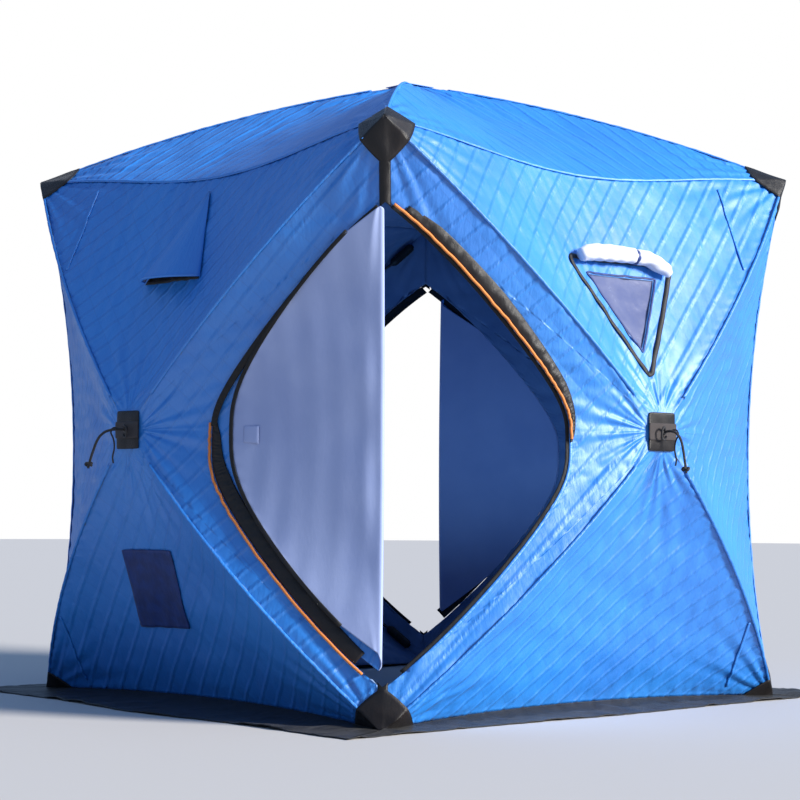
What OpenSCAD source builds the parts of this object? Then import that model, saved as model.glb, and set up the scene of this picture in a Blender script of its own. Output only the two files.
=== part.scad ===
// Pop-up ice fishing hut: four fabric walls, each pushed out by a spring hub
// and four bowed poles, under a low four-sided roof. Two corner doors.
// Millimetres. X runs along the front wall, Z is up, the ground is Z = 0.
// The front wall faces -Y. Corner doors: front-left and back-right.

/* [Shelter size] */
// Width of each wall at the ground, corner to corner
base_side = 1760; // [1200:10:2600]
// Height of the wall corners
corner_height = 1760; // [1300:10:2200]
// How much further out each top corner stands than the bottom one
top_flare = 32; // [0:1:120]
// Rise of the roof hub above the wall corners
roof_rise = 333; // [150:1:600]
// How far each wall hub stands out from the line of the corners
hub_push = 266; // [150:1:400]
// Height of the wall hubs
hub_height = 872; // [600:1:1200]

/* [Fabric] */
// Thickness of the quilted fabric
fabric = 5; // [2:0.5:10]
// Gap between neighbouring panels at a seam
seam_gap = 0.4; // [0.2:0.1:1]
// How far a corner edge pulls inward at mid height
edge_pull = 100; // [20:1:160]
// How far the top seam pulls inward at mid width
top_pull = 80; // [20:1:140]
// How far the top seam sags at mid width
top_sag = 66; // [10:1:110]
// How far the hem pulls inward at mid width
hem_pull = 70; // [10:1:140]
// How far the hem lifts at mid width
hem_lift = 22; // [0:1:60]
// How much of a pole's bow is lost at the middle of a panel
panel_slack = 0.7; // [0:0.05:1]

/* [Poles and hubs] */
// Bow of the upper wall poles
upper_bow = 45; // [10:1:90]
// Bow of the lower wall poles
lower_bow = 58; // [10:1:90]
// Bow of the roof poles
roof_bow = 38; // [10:1:80]
// Diameter of the poles
pole_dia = 11; // [6:0.5:16]
// Gap between the fabric and the poles
pole_clear = 6; // [3:0.5:20]
// Diameter of the sleeve at the corner end of a pole
sleeve_dia = 36; // [20:1:60]
// Length of the sleeve at the corner end of a pole
sleeve_length = 120; // [60:5:200]
// Width of a hub block
hub_block = 84; // [60:1:120]
// Depth of a hub block
hub_depth = 34; // [20:1:60]

/* [Hub patches and cords] */
// Width of the square patch over a hub
patch_side = 118; // [90:1:180]
// Thickness of the hub patch
patch_thick = 3; // [1.5:0.5:6]
// Width of the webbing band across a hub patch
band_width = 54; // [30:1:80]
// Diameter of the pull cord
cord_dia = 8; // [4:0.5:12]

/* [Corner caps] */
// Reach of a corner cap along the seams
cap_reach = 140; // [80:5:220]
// Thickness of a corner cap
cap_thick = 3; // [1.5:0.5:6]

/* [Doors] */
// Height of the door's bottom above the ground, along the corner edge
door_sill = 116; // [70:1:350]
// How far the door's top stops below the wall corner
door_drop = 229; // [125:1:440]
// How far the door's side point stops short of the wall hub
door_stop = 281; // [210:1:520]
// Width of the black storm band
storm_band = 46; // [20:1:80]
// Thickness of the storm band
band_thick = 2.5; // [1.5:0.5:6]
// Diameter of the orange piping
piping_dia = 9; // [5:0.5:14]
// How far the folded half of a door stands out from the other half
fold_space = 8; // [3:0.5:20]

/* [Windows] */
// Width of the clear pane at its top
pane_width = 300; // [180:5:380]
// Height of the clear pane
pane_height = 232; // [140:2:300]
// Height of the pane's top edge above the wall hub
pane_top = 486; // [380:2:600]
// Thickness of the clear pane
pane_thick = 1.5; // [1:0.5:4]
// How far the pane laps under its fabric edge
pane_lap = 14; // [8:1:30]
// Width of the blue border between pane and binding
border_width = 34; // [15:1:60]
// Width of the black binding
binding_width = 17; // [10:1:30]
// Diameter of the rolled-up window cover
roll_dia = 52; // [30:1:80]

/* [Vents] */
// Width of a vent hood at its mouth
hood_width = 300; // [180:5:400]
// Height of a vent hood
hood_height = 300; // [180:5:380]
// Height of a hood's peak above the wall hub
hood_peak = 780; // [600:5:850]
// How far the mouth of a hood stands out
hood_depth = 85; // [40:1:140]
// Thickness of a vent hood
hood_thick = 3; // [2:0.5:6]

/* [Skirt and side patch] */
// How far the skirt reaches out at the front and back
skirt_front = 115; // [60:5:300]
// How far the skirt reaches out at the two sides
skirt_side = 230; // [60:5:300]
// Thickness of the skirt
skirt_thick = 4; // [2:0.5:6]
// Width of the plain patch on the side walls
side_patch_width = 245; // [120:5:300]
// Height of the plain patch on the side walls
side_patch_height = 258; // [120:5:320]
// Thickness of the plain patch
side_patch_thick = 2; // [1:0.5:4]

/* [Hidden] */

// ---- derived sizes ----
base_half = base_side / 2;
top_half = base_half + top_flare;
hub_reach = (base_half + top_half) / 2 + hub_push;
roof_height = corner_height + roof_rise;
centre = [0, 0, corner_height / 2];
span = hub_reach * 0.94;           // nominal distance from the centre to a panel
hub_half = patch_side * 0.38;     // half width of the flat area over a hub
clear = 0.3;                      // resting clearance between sewn pieces
lay = 0.9;                        // clearance under pieces laid on a curved panel
roof_hub_half = hub_half;

// ---- small helpers ----
function mix(a, b, t) = a + (b - a) * t;
function bump(t) = 4 * t * (1 - t);
function unit(v) = v / norm(v);
function grow(p, d) = centre + (p - centre) * (1 + d / span);   // out by d, in from d < 0
function turn(p, q) = q == 0 ? p : turn([-p[1], p[0], p[2]], q - 1);
function flat_list(a) = [for (row = a) for (p = row) p];
function steps(n, a = 0, b = 1) = [for (i = [0 : n]) a + (b - a) * i / n];

// ---- corner points and seams of the front wall ----
TL = [-top_half, -top_half, corner_height];
TR = [top_half, -top_half, corner_height];
BL = [-base_half, -base_half, 0];
BR = [base_half, -base_half, 0];
function hub_pt(sx, sz) = [sx * hub_half, -hub_reach, hub_height + sz * hub_half];
function edge_left(s) = mix(BL, TL, s) + edge_pull * bump(s) / sqrt(2) * [1, 1, 0];
function top_seam(s) = mix(TL, TR, s) + [0, top_pull * bump(s), -top_sag * pow(sin(180 * s), 2)];
function hem(s) = mix(BL, BR, s) + bump(s) * [0, hem_pull, hem_lift];
function flip_x(p) = [-p[0], p[1], p[2]];

// ---- the surfaces of the front wall: s across, r from hub to seam ----
function slack(s) = 1 - panel_slack * bump(s);
function out_up(s) = mix([-0.15, -0.97, 0.16], [0.15, -0.97, 0.16], s);
function out_low(s) = mix([-0.15, -0.97, -0.16], [0.15, -0.97, -0.16], s);
function wall_top(s, r) = mix(mix(hub_pt(-1, 1), hub_pt(1, 1), s), top_seam(s), r)
  + bump(r) * slack(s) * upper_bow * out_up(s);
function wall_bottom(s, r) = mix(mix(hub_pt(-1, -1), hub_pt(1, -1), s), hem(s), r)
  + bump(r) * slack(s) * lower_bow * out_low(s);
function wall_left(s, r) = mix(mix(hub_pt(-1, -1), hub_pt(-1, 1), s), edge_left(s), r)
  + bump(r) * slack(s) * mix(lower_bow * out_low(0), upper_bow * out_up(0), s);
function wall_right(s, r) = flip_x(wall_left(s, r));
function roof_pt(s, r) = mix([mix(-1, 1, s) * roof_hub_half, -roof_hub_half, roof_height], top_seam(s), r)
  + [0, 0, bump(r) * slack(s) * roof_bow];

// share across the wall at a given distance from its middle line
function share_top(x, r) = 0.5 + x / (2 * mix(hub_half, top_half, r));
function share_bottom(x, r) = 0.5 + x / (2 * mix(hub_half, base_half, r));

// ---- the edge of a door opening in a side panel ----
door_low = door_sill / corner_height;
door_high = 1 - door_drop / corner_height;
door_mid = (door_low + door_high) / 2;
door_half = (door_high - door_low) / 2;
door_side = door_stop / norm(wall_left(door_mid, 1) - wall_left(door_mid, 0));
function door_share(s) =
  let (u = min(1, abs(s - door_mid) / door_half), e = s > door_mid ? 2.5 : 3.6)
  1 - (1 - door_side) * sqrt(1 - pow(u, e));
door_rows = [for (i = [0 : 18]) door_mid - door_half * cos(180 * i / 18)];

// ---- solids from grids ----
// outer and inner are grids of the same size; way turns the faces about
module slab(outer, inner, way = false) {
  n = len(outer) - 1;
  m = len(outer[0]) - 1;
  N = (n + 1) * (m + 1);
  function at(i, j) = i * (m + 1) + j;
  tri = concat(
    [for (i = [0 : n - 1]) for (j = [0 : m - 1]) each
      [[at(i, j), at(i + 1, j), at(i + 1, j + 1)], [at(i, j), at(i + 1, j + 1), at(i, j + 1)]]],
    [for (i = [0 : n - 1]) for (j = [0 : m - 1]) each
      [[N + at(i + 1, j), N + at(i, j), N + at(i + 1, j + 1)], [N + at(i + 1, j + 1), N + at(i, j), N + at(i, j + 1)]]],
    [for (i = [0 : n - 1]) each
      [[at(i + 1, 0), at(i, 0), N + at(i, 0)], [at(i + 1, 0), N + at(i, 0), N + at(i + 1, 0)]]],
    [for (i = [0 : n - 1]) each
      [[at(i, m), at(i + 1, m), N + at(i, m)], [at(i + 1, m), N + at(i + 1, m), N + at(i, m)]]],
    [for (j = [0 : m - 1]) each
      [[at(0, j), at(0, j + 1), N + at(0, j)], [at(0, j + 1), N + at(0, j + 1), N + at(0, j)]]],
    [for (j = [0 : m - 1]) each
      [[at(n, j + 1), at(n, j), N + at(n, j)], [at(n, j + 1), N + at(n, j), N + at(n, j + 1)]]]
  );
  polyhedron(points = concat(flat_list(outer), flat_list(inner)),
    faces = way ? tri : [for (f = tri) [f[2], f[1], f[0]]]);
}

// a tube along pts with radius r[i] at each point
module tube(pts, r, sides = 8) {
  n = len(pts);
  dirs = [for (i = [0 : n - 1]) unit(pts[min(i + 1, n - 1)] - pts[max(i - 1, 0)])];
  ups = [for (d = dirs) abs(d[2]) < 0.85 ? [0, 0, 1] : [1, 0, 0]];
  us = frames(dirs, unit(cross(dirs[0], ups[0])));
  ring = [for (i = [0 : n - 1]) for (k = [0 : sides - 1])
    pts[i] + r[i] * (cos(360 * k / sides) * us[i] + sin(360 * k / sides) * cross(dirs[i], us[i]))];
  polyhedron(points = ring, faces = concat(
    [[for (k = [0 : sides - 1]) k]],
    [[for (k = [sides - 1 : -1 : 0]) (n - 1) * sides + k]],
    [for (i = [0 : n - 2]) for (k = [0 : sides - 1]) let (k2 = (k + 1) % sides) each
      [[i * sides + k, (i + 1) * sides + k, (i + 1) * sides + k2],
       [i * sides + k, (i + 1) * sides + k2, i * sides + k2]]]));
}
function frames(dirs, u, i = 0, got = []) = i == len(dirs) ? got :
  let (v = unit(u - dirs[i] * (u * dirs[i]))) frames(dirs, v, i + 1, concat(got, [v]));

// ---- wall and roof panels ----
across = steps(10, seam_gap / 2 / base_side, 1 - seam_gap / 2 / base_side);
along = steps(7, 0, 1 - seam_gap / 2 / base_half);
function panel_grid(kind, d) = [for (s = across) [for (r = along) grow(
  kind == "top" ? wall_top(s, r) : kind == "bottom" ? wall_bottom(s, r) :
  kind == "left" ? wall_left(s, r) : kind == "right" ? wall_right(s, r) : roof_pt(s, r), d)]];
module panel(kind, way) slab(panel_grid(kind, 0), panel_grid(kind, -fabric), way);

// a side panel with the door opening cut from its corner edge
surround_rows = concat([seam_gap / 2 / base_side, door_low * 0.5], door_rows,
  [mix(door_high, 1, 0.5), 1 - seam_gap / 2 / base_side]);
function surround_grid(d) = [for (s = surround_rows) [for (t = steps(7))
  grow(wall_left(s, t * (s < door_low || s > door_high ? 1 - seam_gap / 2 / base_half
    : min(1 - seam_gap / 2 / base_half, door_share(s)))), d)]];
module surround() slab(surround_grid(0), surround_grid(-fabric), true);

module wall_quarter(q) rotate([0, 0, 90 * q]) children();

// ---- windows ----
// triangle in the plane of the wall: half widths and heights grown by g
function window_tri(g) = let (h = g * 1.75)
  [[-pane_width / 2 - h, pane_top + g], [pane_width / 2 + h, pane_top + g],
   [0, pane_top - pane_height - g * 1.75]];
module window_prism(g, r) translate([0, -hub_reach - 50, hub_height]) rotate([90, 0, 0])
  translate([0, 0, -450]) linear_extrude(500) offset(r = r, $fn = 24) polygon(window_tri(g));
module top_layer(d0, d1) slab(
  [for (s = across) [for (r = along) grow(wall_top(s, r), d1)]],
  [for (s = across) [for (r = along) grow(wall_top(s, r), d0)]], true);
module wall_top_cut() difference() {
  panel("top", true);
  window_prism(-6, 8);
}

// ---- colours ----
c_blue = [0.05, 0.36, 0.68];
c_light = [0.25, 0.6, 0.85];
c_black = [0.06, 0.06, 0.07];
c_orange = [0.9, 0.45, 0.1];
c_white = [0.9, 0.9, 0.92];
c_navy = [0.05, 0.12, 0.3];
c_grey = [0.35, 0.36, 0.4];

// ---- the sub-parts ----
module front_wall_top() color(c_light) wall_top_cut();
module front_wall_bottom() color(c_blue) panel("bottom", false);
module front_wall_left() color(c_light) surround();
module front_wall_right() color(c_blue) panel("right", false);
module right_wall_top() color(c_light) wall_quarter(1) panel("top", true);
module right_wall_bottom() color(c_blue) wall_quarter(1) panel("bottom", false);
module right_wall_front() color(c_blue) wall_quarter(1) panel("left", true);
module right_wall_rear() color(c_light) wall_quarter(1) mirror([1, 0, 0]) surround();
module back_wall_top() color(c_light) wall_quarter(2) wall_top_cut();
module back_wall_bottom() color(c_blue) wall_quarter(2) panel("bottom", false);
module back_wall_right() color(c_light) wall_quarter(2) surround();
module back_wall_left() color(c_blue) wall_quarter(2) panel("right", false);
module left_wall_top() color(c_light) wall_quarter(3) panel("top", true);
module left_wall_bottom() color(c_blue) wall_quarter(3) panel("bottom", false);
module left_wall_rear() color(c_blue) wall_quarter(3) panel("left", true);
module left_wall_front() color(c_light) wall_quarter(3) mirror([1, 0, 0]) surround();
module roof_front() color(c_light) panel("roof", false);
module roof_right() color(c_light) wall_quarter(1) panel("roof", false);
module roof_back() color(c_light) wall_quarter(2) panel("roof", false);
module roof_left() color(c_light) wall_quarter(3) panel("roof", false);

// spring hubs: one behind each wall patch and one under the roof
module hub_body() difference() {
  cylinder(h = hub_depth, d = hub_block, $fn = 32);
  for (a = [45 : 90 : 315]) rotate([0, 0, a]) translate([hub_block / 2 - 16, 0, hub_depth / 2])
    rotate([0, 90, 0]) cylinder(h = 60, d = pole_dia + 1, $fn = 24);
}
module pole_hubs() color(c_grey) {
  for (q = [0 : 3]) wall_quarter(q) translate([0, -hub_reach + fabric + clear, hub_height])
    rotate([-90, 0, 0]) hub_body();
  translate([0, 0, roof_height - fabric - clear - hub_depth]) hub_body();
}

// one pole: hub end, bowed run inside the fabric, corner sleeve
pole_in = fabric + pole_clear + pole_dia / 2 + 2;
sleeve_in = (fabric + clear + sleeve_dia / 2) * 1.35;
pole_steps = [0, 0.04, 0.05, 0.15, 0.27, 0.4, 0.53, 0.66, 0.78];
function pole_line(upper, r) = upper ? wall_top(0, r) : wall_bottom(0, r);
hub_socket_reach = hub_block / 2 - 14;
hub_socket_in = fabric + clear + hub_depth / 2;
function pole_start(upper) = [-hub_socket_reach / sqrt(2), -hub_reach + hub_socket_in,
  hub_height + (upper ? 1 : -1) * hub_socket_reach / sqrt(2)];
function corner_pt(upper) = upper ? TL : BL;
pole_run = norm(TL - hub_pt(-1, 1));
sleeve_tip = 78;                  // from a corner to the closed end of a sleeve
function run_share(len, tip) = 1 - tip / len;
function wall_pole_pts(upper) = let (
    a = pole_start(upper), e = run_share(pole_run, sleeve_tip),
    b = run_share(pole_run, sleeve_tip + sleeve_length),
    out = [-1 / sqrt(2), 0, (upper ? 1 : -1) / sqrt(2)])
  concat([a, a + out * 16, a + out * 24],
    [for (r = steps(6, 0.12, b - 0.05)) grow(pole_line(upper, r), -pole_in)],
    [grow(pole_line(upper, b), -sleeve_in), grow(pole_line(upper, b + 0.001), -sleeve_in),
     grow(pole_line(upper, e), -sleeve_in)]);
function pole_radii(n) = [for (i = [0 : n - 1]) i < n - 2 ? pole_dia / 2 : sleeve_dia / 2];
module wall_pole(upper) tube(wall_pole_pts(upper), pole_radii(len(wall_pole_pts(upper))), 8);
module wall_poles() color(c_black) for (q = [0 : 3]) wall_quarter(q) for (m = [0, 1])
  mirror([m, 0, 0]) { wall_pole(true); wall_pole(false); }

roof_run = norm(TL - [-roof_hub_half, -roof_hub_half, roof_height]);
function roof_pole_pts() = let (
    a = [-1, -1, 0] * hub_socket_reach / sqrt(2) + [0, 0, roof_height - fabric - clear - hub_depth / 2],
    e = run_share(roof_run, sleeve_tip), b = run_share(roof_run, sleeve_tip + sleeve_length),
    out = [-1, -1, 0] / sqrt(2))
  concat([a, a + out * 16, a + out * 24],
    [for (r = steps(6, 0.12, b - 0.05)) grow(roof_pt(0, r), -pole_in)],
    [grow(roof_pt(0, b), -sleeve_in), grow(roof_pt(0, b + 0.001), -sleeve_in),
     grow(roof_pt(0, e), -sleeve_in)]);
module roof_poles() color(c_black) for (q = [0 : 3]) wall_quarter(q)
  tube(roof_pole_pts(), pole_radii(len(roof_pole_pts())), 8);

// ---- corner caps ----
function swap(p) = [p[1], p[0], p[2]];
function above(p) = [p[0], p[1], max(p[2], clear)];
cap_gap = 0.8;
module fan_shell(apex, ring, closed) {
  n = len(ring);
  po = [for (p = concat([apex], ring)) above(grow(p, cap_gap + cap_thick))];
  pi = [for (p = concat([apex], ring)) above(grow(p, cap_gap))];
  last = closed ? n - 1 : n - 2;
  tri = concat(
    [for (i = [0 : last]) [0, 1 + i, 1 + (i + 1) % n]],
    [for (i = [0 : last]) [n + 1, n + 2 + (i + 1) % n, n + 2 + i]],
    [for (i = [0 : last]) let (j = (i + 1) % n) each
      [[1 + i, n + 2 + i, n + 2 + j], [1 + i, n + 2 + j, 1 + j]]],
    closed ? [] : [[0, n + 1, n + 2], [0, n + 2, 1], [0, n, 2 * n + 1], [0, 2 * n + 1, n + 1]]);
  polyhedron(points = concat(po, pi), faces = tri);
}
cap_pole = 1 - cap_reach * 0.72 / pole_run;
cap_seam = cap_reach / (2 * top_half);
module top_cap() fan_shell(TL, [
  roof_pt(0, 1 - cap_reach / roof_run),
  top_seam(cap_seam), wall_top(0, cap_pole),
  edge_left(1 - cap_reach / corner_height),
  swap(wall_top(0, cap_pole)), swap(top_seam(cap_seam))], true);
module top_corner_caps() color(c_black) for (q = [0 : 3]) wall_quarter(q) top_cap();
module bottom_cap() fan_shell(BL, [
  hem(cap_reach / base_side), wall_bottom(0, cap_pole),
  edge_left(cap_reach * 0.9 / corner_height),
  swap(wall_bottom(0, cap_pole)), swap(hem(cap_reach / base_side))], false);
module bottom_corner_caps() color(c_black) for (q = [0 : 3]) wall_quarter(q) bottom_cap();

// ---- hub patches ----
module hub_patch(band) {
  translate([0, 0, clear + patch_thick / 2]) cube([patch_side, patch_side, patch_thick], center = true);
  translate([0, 0, (clear + 1 - fabric) / 2]) cube([2 * hub_half - 2, 2 * hub_half - 2, fabric + clear + 1], center = true);
  if (band) {
    translate([0, 0, clear + patch_thick / 2 + 1]) cube([patch_side, band_width, patch_thick + 2], center = true);
    translate([0, 0, clear + patch_thick]) cylinder(h = 9, d = 18, $fn = 24);
  }
}
module hub_patches() {
  color(c_black) for (q = [0 : 3]) wall_quarter(q)
    translate([0, -hub_reach, hub_height]) rotate([90, 0, 0]) hub_patch(true);
  color(c_light) translate([0, 0, roof_height]) hub_patch(false);
}

// ---- doors, drawn for the left side of the front wall ----
function door_pt(s, r, d) = grow(wall_left(s, r), d);
function door_s(i, n) = door_mid - door_half * cos(20 + 140 * i / n);
fold_low = door_low + 0.052;
fold_high = door_high - 0.006;
fold_side = door_side + 0.09;
function fold_s(s) = mix(fold_low, fold_high, (s - door_s(0, 1)) / (door_s(1, 1) - door_s(0, 1)));
function fold_share(s) =
  let (m = (fold_low + fold_high) / 2, h = (fold_high - fold_low) / 2 * 1.02,
       u = min(1, abs(s - m) / h), e = s > m ? 2.5 : 3)
  1 - (1 - fold_side) * sqrt(1 - pow(u, e));
door_gap = 0.6 / base_half;
flap_edge = 0.985;
// the face that lies outward when the door is shut, then its folded half
function flap_row(s, white) = let (s2 = fold_s(s), a = door_share(s) + door_gap, b = fold_share(s2),
    t = white ? fabric : 0)
  concat(
    [for (r = steps(4, a, flap_edge)) door_pt(s, r, -t)],
    white ? [door_pt(mix(s, s2, 0.25), 0.998, -fabric * 0.6), door_pt(mix(s, s2, 0.5), 1.004, fold_space / 2),
             door_pt(mix(s, s2, 0.75), 0.998, fold_space + fabric * 0.6)]
      : [door_pt(mix(s, s2, 0.25), flap_edge + 0.003, 1), door_pt(mix(s, s2, 0.5), flap_edge + 0.005, fold_space / 2),
         door_pt(mix(s, s2, 0.75), flap_edge + 0.003, fold_space - 1)],
    [for (r = steps(4, flap_edge, b)) door_pt(s2, r, fold_space + t)]);
module door_flap() slab(
  [for (i = [0 : 14]) flap_row(door_s(i, 14), false)],
  [for (i = [0 : 14]) flap_row(door_s(i, 14), true)], true);
module door_on_left_wall() wall_quarter(3) mirror([1, 0, 0]) children();
module front_door_flap() color(c_white) door_on_left_wall() door_flap();
module rear_door_flap() color(c_white) wall_quarter(2) door_on_left_wall() door_flap();

// a point at a distance off from the door's edge: off > 0 lies in the opening
function edge_pt(s, off, d) = let (e = 0.004, r = door_share(s),
    along = unit(wall_left(s + e, door_share(s + e)) - wall_left(s - e, door_share(s - e))),
    across_r = wall_left(s, r + e) - wall_left(s, r - e),
    normal = unit(cross(wall_left(s + e, r) - wall_left(s - e, r), across_r)),
    side = cross(normal, along))
  grow(wall_left(s, r) + (side * across_r > 0 ? off : -off) * side, d);
module edge_strip(a0, a1, off0, off1, d0, d1) {
  rows = [for (a = [a0 : 10 : a1]) door_mid - door_half * cos(a)];
  slab([for (s = rows) [edge_pt(s, off0, d1), edge_pt(s, off1, d1)]],
       [for (s = rows) [edge_pt(s, off0, d0), edge_pt(s, off1, d0)]], true);
}
module upper_band() edge_strip(90, 170, -storm_band, -1, 2.2 * lay, 2.2 * lay + band_thick);
module lower_band() edge_strip(20, 100, 2, storm_band, 2.8 * lay, 2.8 * lay + band_thick);
module both_doors() for (q = [0, 2]) wall_quarter(q) children();
module storm_bands() color(c_black) {
  both_doors() upper_band();
  both_doors() door_on_left_wall() lower_band();
}
module piping(a0, a1, off, d) {
  pts = [for (a = [a0 : 5 : a1]) let (s = door_mid - door_half * cos(a))
    edge_pt(s, off, d + piping_dia / 2)];
  tube(pts, [for (p = pts) piping_dia / 2], 6);
}
module door_piping() color(c_orange) {
  both_doors() piping(90, 170, -piping_dia * 0.6, 2.2 * lay + clear + band_thick);
  both_doors() door_on_left_wall() piping(20, 100, -piping_dia * 0.6, 2 * clear);
}

// ---- windows on the front and back walls ----
binding_thick = 2;
top_rise = corner_height - top_sag - hub_height - hub_half;
// the place on the top panel that lies at x across the wall and z above the ground
function top_find(x, z, s, r, n) = n == 0 ? [s, r] :
  let (p = wall_top(s, r))
  top_find(x, z, s + (x - p[0]) / (2 * mix(hub_half, top_half, r)), r + (z - p[2]) / top_rise, n - 1);
function top_place(x, up) = let (r = (up - hub_half) / top_rise)
  top_find(x, hub_height + up, share_top(x, r), r, 6);
function top_at(x, up, d) = let (f = top_place(x, up)) grow(wall_top(f[0], f[1]), d);
function top_out(x, up) = let (f = top_place(x, up), e = 0.004)
  unit(cross(wall_top(f[0] + e, f[1]) - wall_top(f[0] - e, f[1]),
             wall_top(f[0], f[1] + e) - wall_top(f[0], f[1] - e)));

// rounded triangle around the pane, as a ring of places: corner arcs of radius r and straight runs
function window_ring(g, r) = let (t = window_tri(g)) [for (i = [0 : 2])
  let (p = t[i], q = t[(i + 1) % 3], o = t[(i + 2) % 3],
       a0 = atan2(p[0] - o[0], o[1] - p[1]), turn = atan2(q[0] - p[0], p[1] - q[1]) - a0,
       a1 = a0 + (turn > 180 ? turn - 360 : turn < -180 ? turn + 360 : turn),
       n1 = [cos(a1), sin(a1)])
  each concat([for (k = [0 : 4]) p + r * [cos(mix(a0, a1, k / 4)), sin(mix(a0, a1, k / 4))]],
              [for (k = [1 : 5]) mix(p, q, k / 6) + r * n1])];
module window_binding() {
  outer = window_ring(border_width, 8 + binding_width);
  inner = window_ring(border_width, 8);
  n = len(outer);
  pts = concat([for (c = outer) top_at(c[0], c[1], lay + clear + binding_thick)],
               [for (c = inner) top_at(c[0], c[1], lay + clear + binding_thick)],
               [for (c = inner) top_at(c[0], c[1], lay + clear)],
               [for (c = outer) top_at(c[0], c[1], lay + clear)]);
  polyhedron(points = pts, faces = [for (band = [0 : 3]) for (i = [0 : n - 1])
    let (j = (i + 1) % n, a = band * n, b = ((band + 1) % 4) * n) each
    [[a + i, b + i, a + j], [a + j, b + i, b + j]]]);
}
module window_bindings() color(c_black) for (q = [0, 2]) wall_quarter(q) window_binding();
module window_pane() intersection() {
  top_layer(-fabric - clear - pane_thick, -fabric - clear);
  window_prism(pane_lap - 6, 8);
}
module window_panes() color(c_grey) for (q = [0, 2]) wall_quarter(q) window_pane();
roll_half = pane_width / 2 + border_width + binding_width;
roll_up = pane_top + border_width + binding_width;
module window_roll() {
  off = lay + 4 * clear + binding_thick + roll_dia / 2;
  pts = [for (x = steps(8, -roll_half, roll_half)) top_at(x, roll_up, 0) + off * top_out(x, roll_up)];
  tube(pts, [for (p = pts) roll_dia / 2], 16);
}
module window_rolls() color(c_white) for (q = [0, 2]) wall_quarter(q) window_roll();

// ---- vent hoods on the two side walls ----
function hood_base(a, c, d) = top_at(mix(-hood_width / 2, hood_width / 2, c) * a, hood_peak - hood_height * a, d);
function hood_bulge(a, c) = hood_depth * pow(a, 1.3) * pow(bump(c), 0.8);
hood_rows = steps(6, 0.06, 1);
hood_cols = steps(12);
module vent_hood() slab(
  [for (a = hood_rows) [for (c = hood_cols) hood_base(a, c, lay + clear + hood_thick) + [0, -hood_bulge(a, c), 0]]],
  [for (a = hood_rows) [for (c = hood_cols) hood_base(a, c, lay + clear) + [0, -hood_bulge(a, c) * 0.96, 0]]], true);
module vent_hoods() color(c_blue) for (q = [1, 3]) wall_quarter(q) vent_hood();

// ---- plain patches low on the two side walls ----
low_rise = hub_height - hub_half;
function bottom_at(x, down, d) = let (r = (down - hub_half) / low_rise) grow(wall_bottom(share_bottom(x, r), r), d);
patch_top = 378;                  // from the hub down to the patch
patch_left = -182;                // left end of its top edge
patch_lean = -55;                 // how far its bottom edge is shifted
module side_patch() {
  function at(i, j, d) = bottom_at(patch_left + patch_lean * i / 6 + side_patch_width * j / 4,
    patch_top + side_patch_height * i / 6, d + lay - clear);
  slab([for (i = [0 : 6]) [for (j = [0 : 4]) at(i, j, clear + side_patch_thick)]],
       [for (i = [0 : 6]) [for (j = [0 : 4]) at(i, j, clear)]], true);
}
module side_patches() color(c_navy) for (q = [1, 3]) wall_quarter(q) side_patch();

// ---- ground skirts ----
cap_share = cap_reach / base_side;
function lean(s) = (hub_reach + hem(s)[1] + 4 * slack(s) * lower_bow) / low_rise;
function off_hem(s) = clear + lean(s) * (skirt_thick + 1.7)
  + (min(s, 1 - s) < cap_share * 1.15 ? (cap_gap + cap_thick) * 1.1 + 0.7 : 0);
skirt_rows = concat([0.003], steps(2, 0.03, cap_share * 1.1), steps(12, cap_share * 1.25, 1 - cap_share * 1.25),
  steps(2, 1 - cap_share * 1.1, 0.97), [0.997]);
module skirt(reach, side_reach) {
  function inner(s) = hem(s) + [0, -off_hem(s), 0] + [min(s, 1 - s) < 0.02 ? sign(s - 0.5) * 4 : 0, 0, 0];
  function outer(s) = [mix(-(base_half + side_reach), base_half + side_reach, s),
    -(base_half + reach) + reach * 0.12 * pow(sin(180 * s), 2) * sin(540 * s), 0];
  function at(s, t, z) = let (a = inner(s), b = outer(s), p = mix(a, b, t), h = a[2] * pow(1 - min(1, t / 0.3), 2))
    [p[0], p[1], max(0, h) + z];
  cols = [0, 0.06, 0.15, 0.3, 0.65, 1];
  slab([for (s = skirt_rows) [for (t = cols) at(s, t, skirt_thick)]],
       [for (s = skirt_rows) [for (t = cols) at(s, t, 0)]], true);
}
module front_skirt() color(c_black) skirt(skirt_front, skirt_side);
module right_skirt() color(c_black) wall_quarter(1) skirt(skirt_side, skirt_front);
module back_skirt() color(c_black) wall_quarter(2) skirt(skirt_front, skirt_side);
module left_skirt() color(c_black) wall_quarter(3) skirt(skirt_side, skirt_front);

// ---- pull cords on the wall hubs: chosen points from the hub's centre ----
side_cord_route = [[-2, -14, 0], [-8, -32, 1], [-18, -50, -1], [-30, -66, -8],
  [-40, -78, -22], [-46, -86, -40], [-50, -92, -60], [-54, -97, -80], [-58, -101, -100], [-62, -104, -120]];
front_cord_route = [[2, -14, 0], [6, -30, 2], [12, -44, -2], [18, -54, -14],
  [22, -60, -30], [25, -63, -48], [27, -65, -66], [29, -67, -86], [31, -69, -106], [33, -70, -126]];
module hub_cord(route) tube([for (p = route) [p[0], -hub_reach + p[1], hub_height + p[2]]],
  [for (p = route) cord_dia / 2], 8);
module front_hub_cord() color(c_black) hub_cord(front_cord_route);
module right_hub_cord() color(c_black) wall_quarter(1) hub_cord(side_cord_route);
module back_hub_cord() color(c_black) wall_quarter(2) hub_cord(front_cord_route);
module left_hub_cord() color(c_black) wall_quarter(3) hub_cord(side_cord_route);

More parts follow.
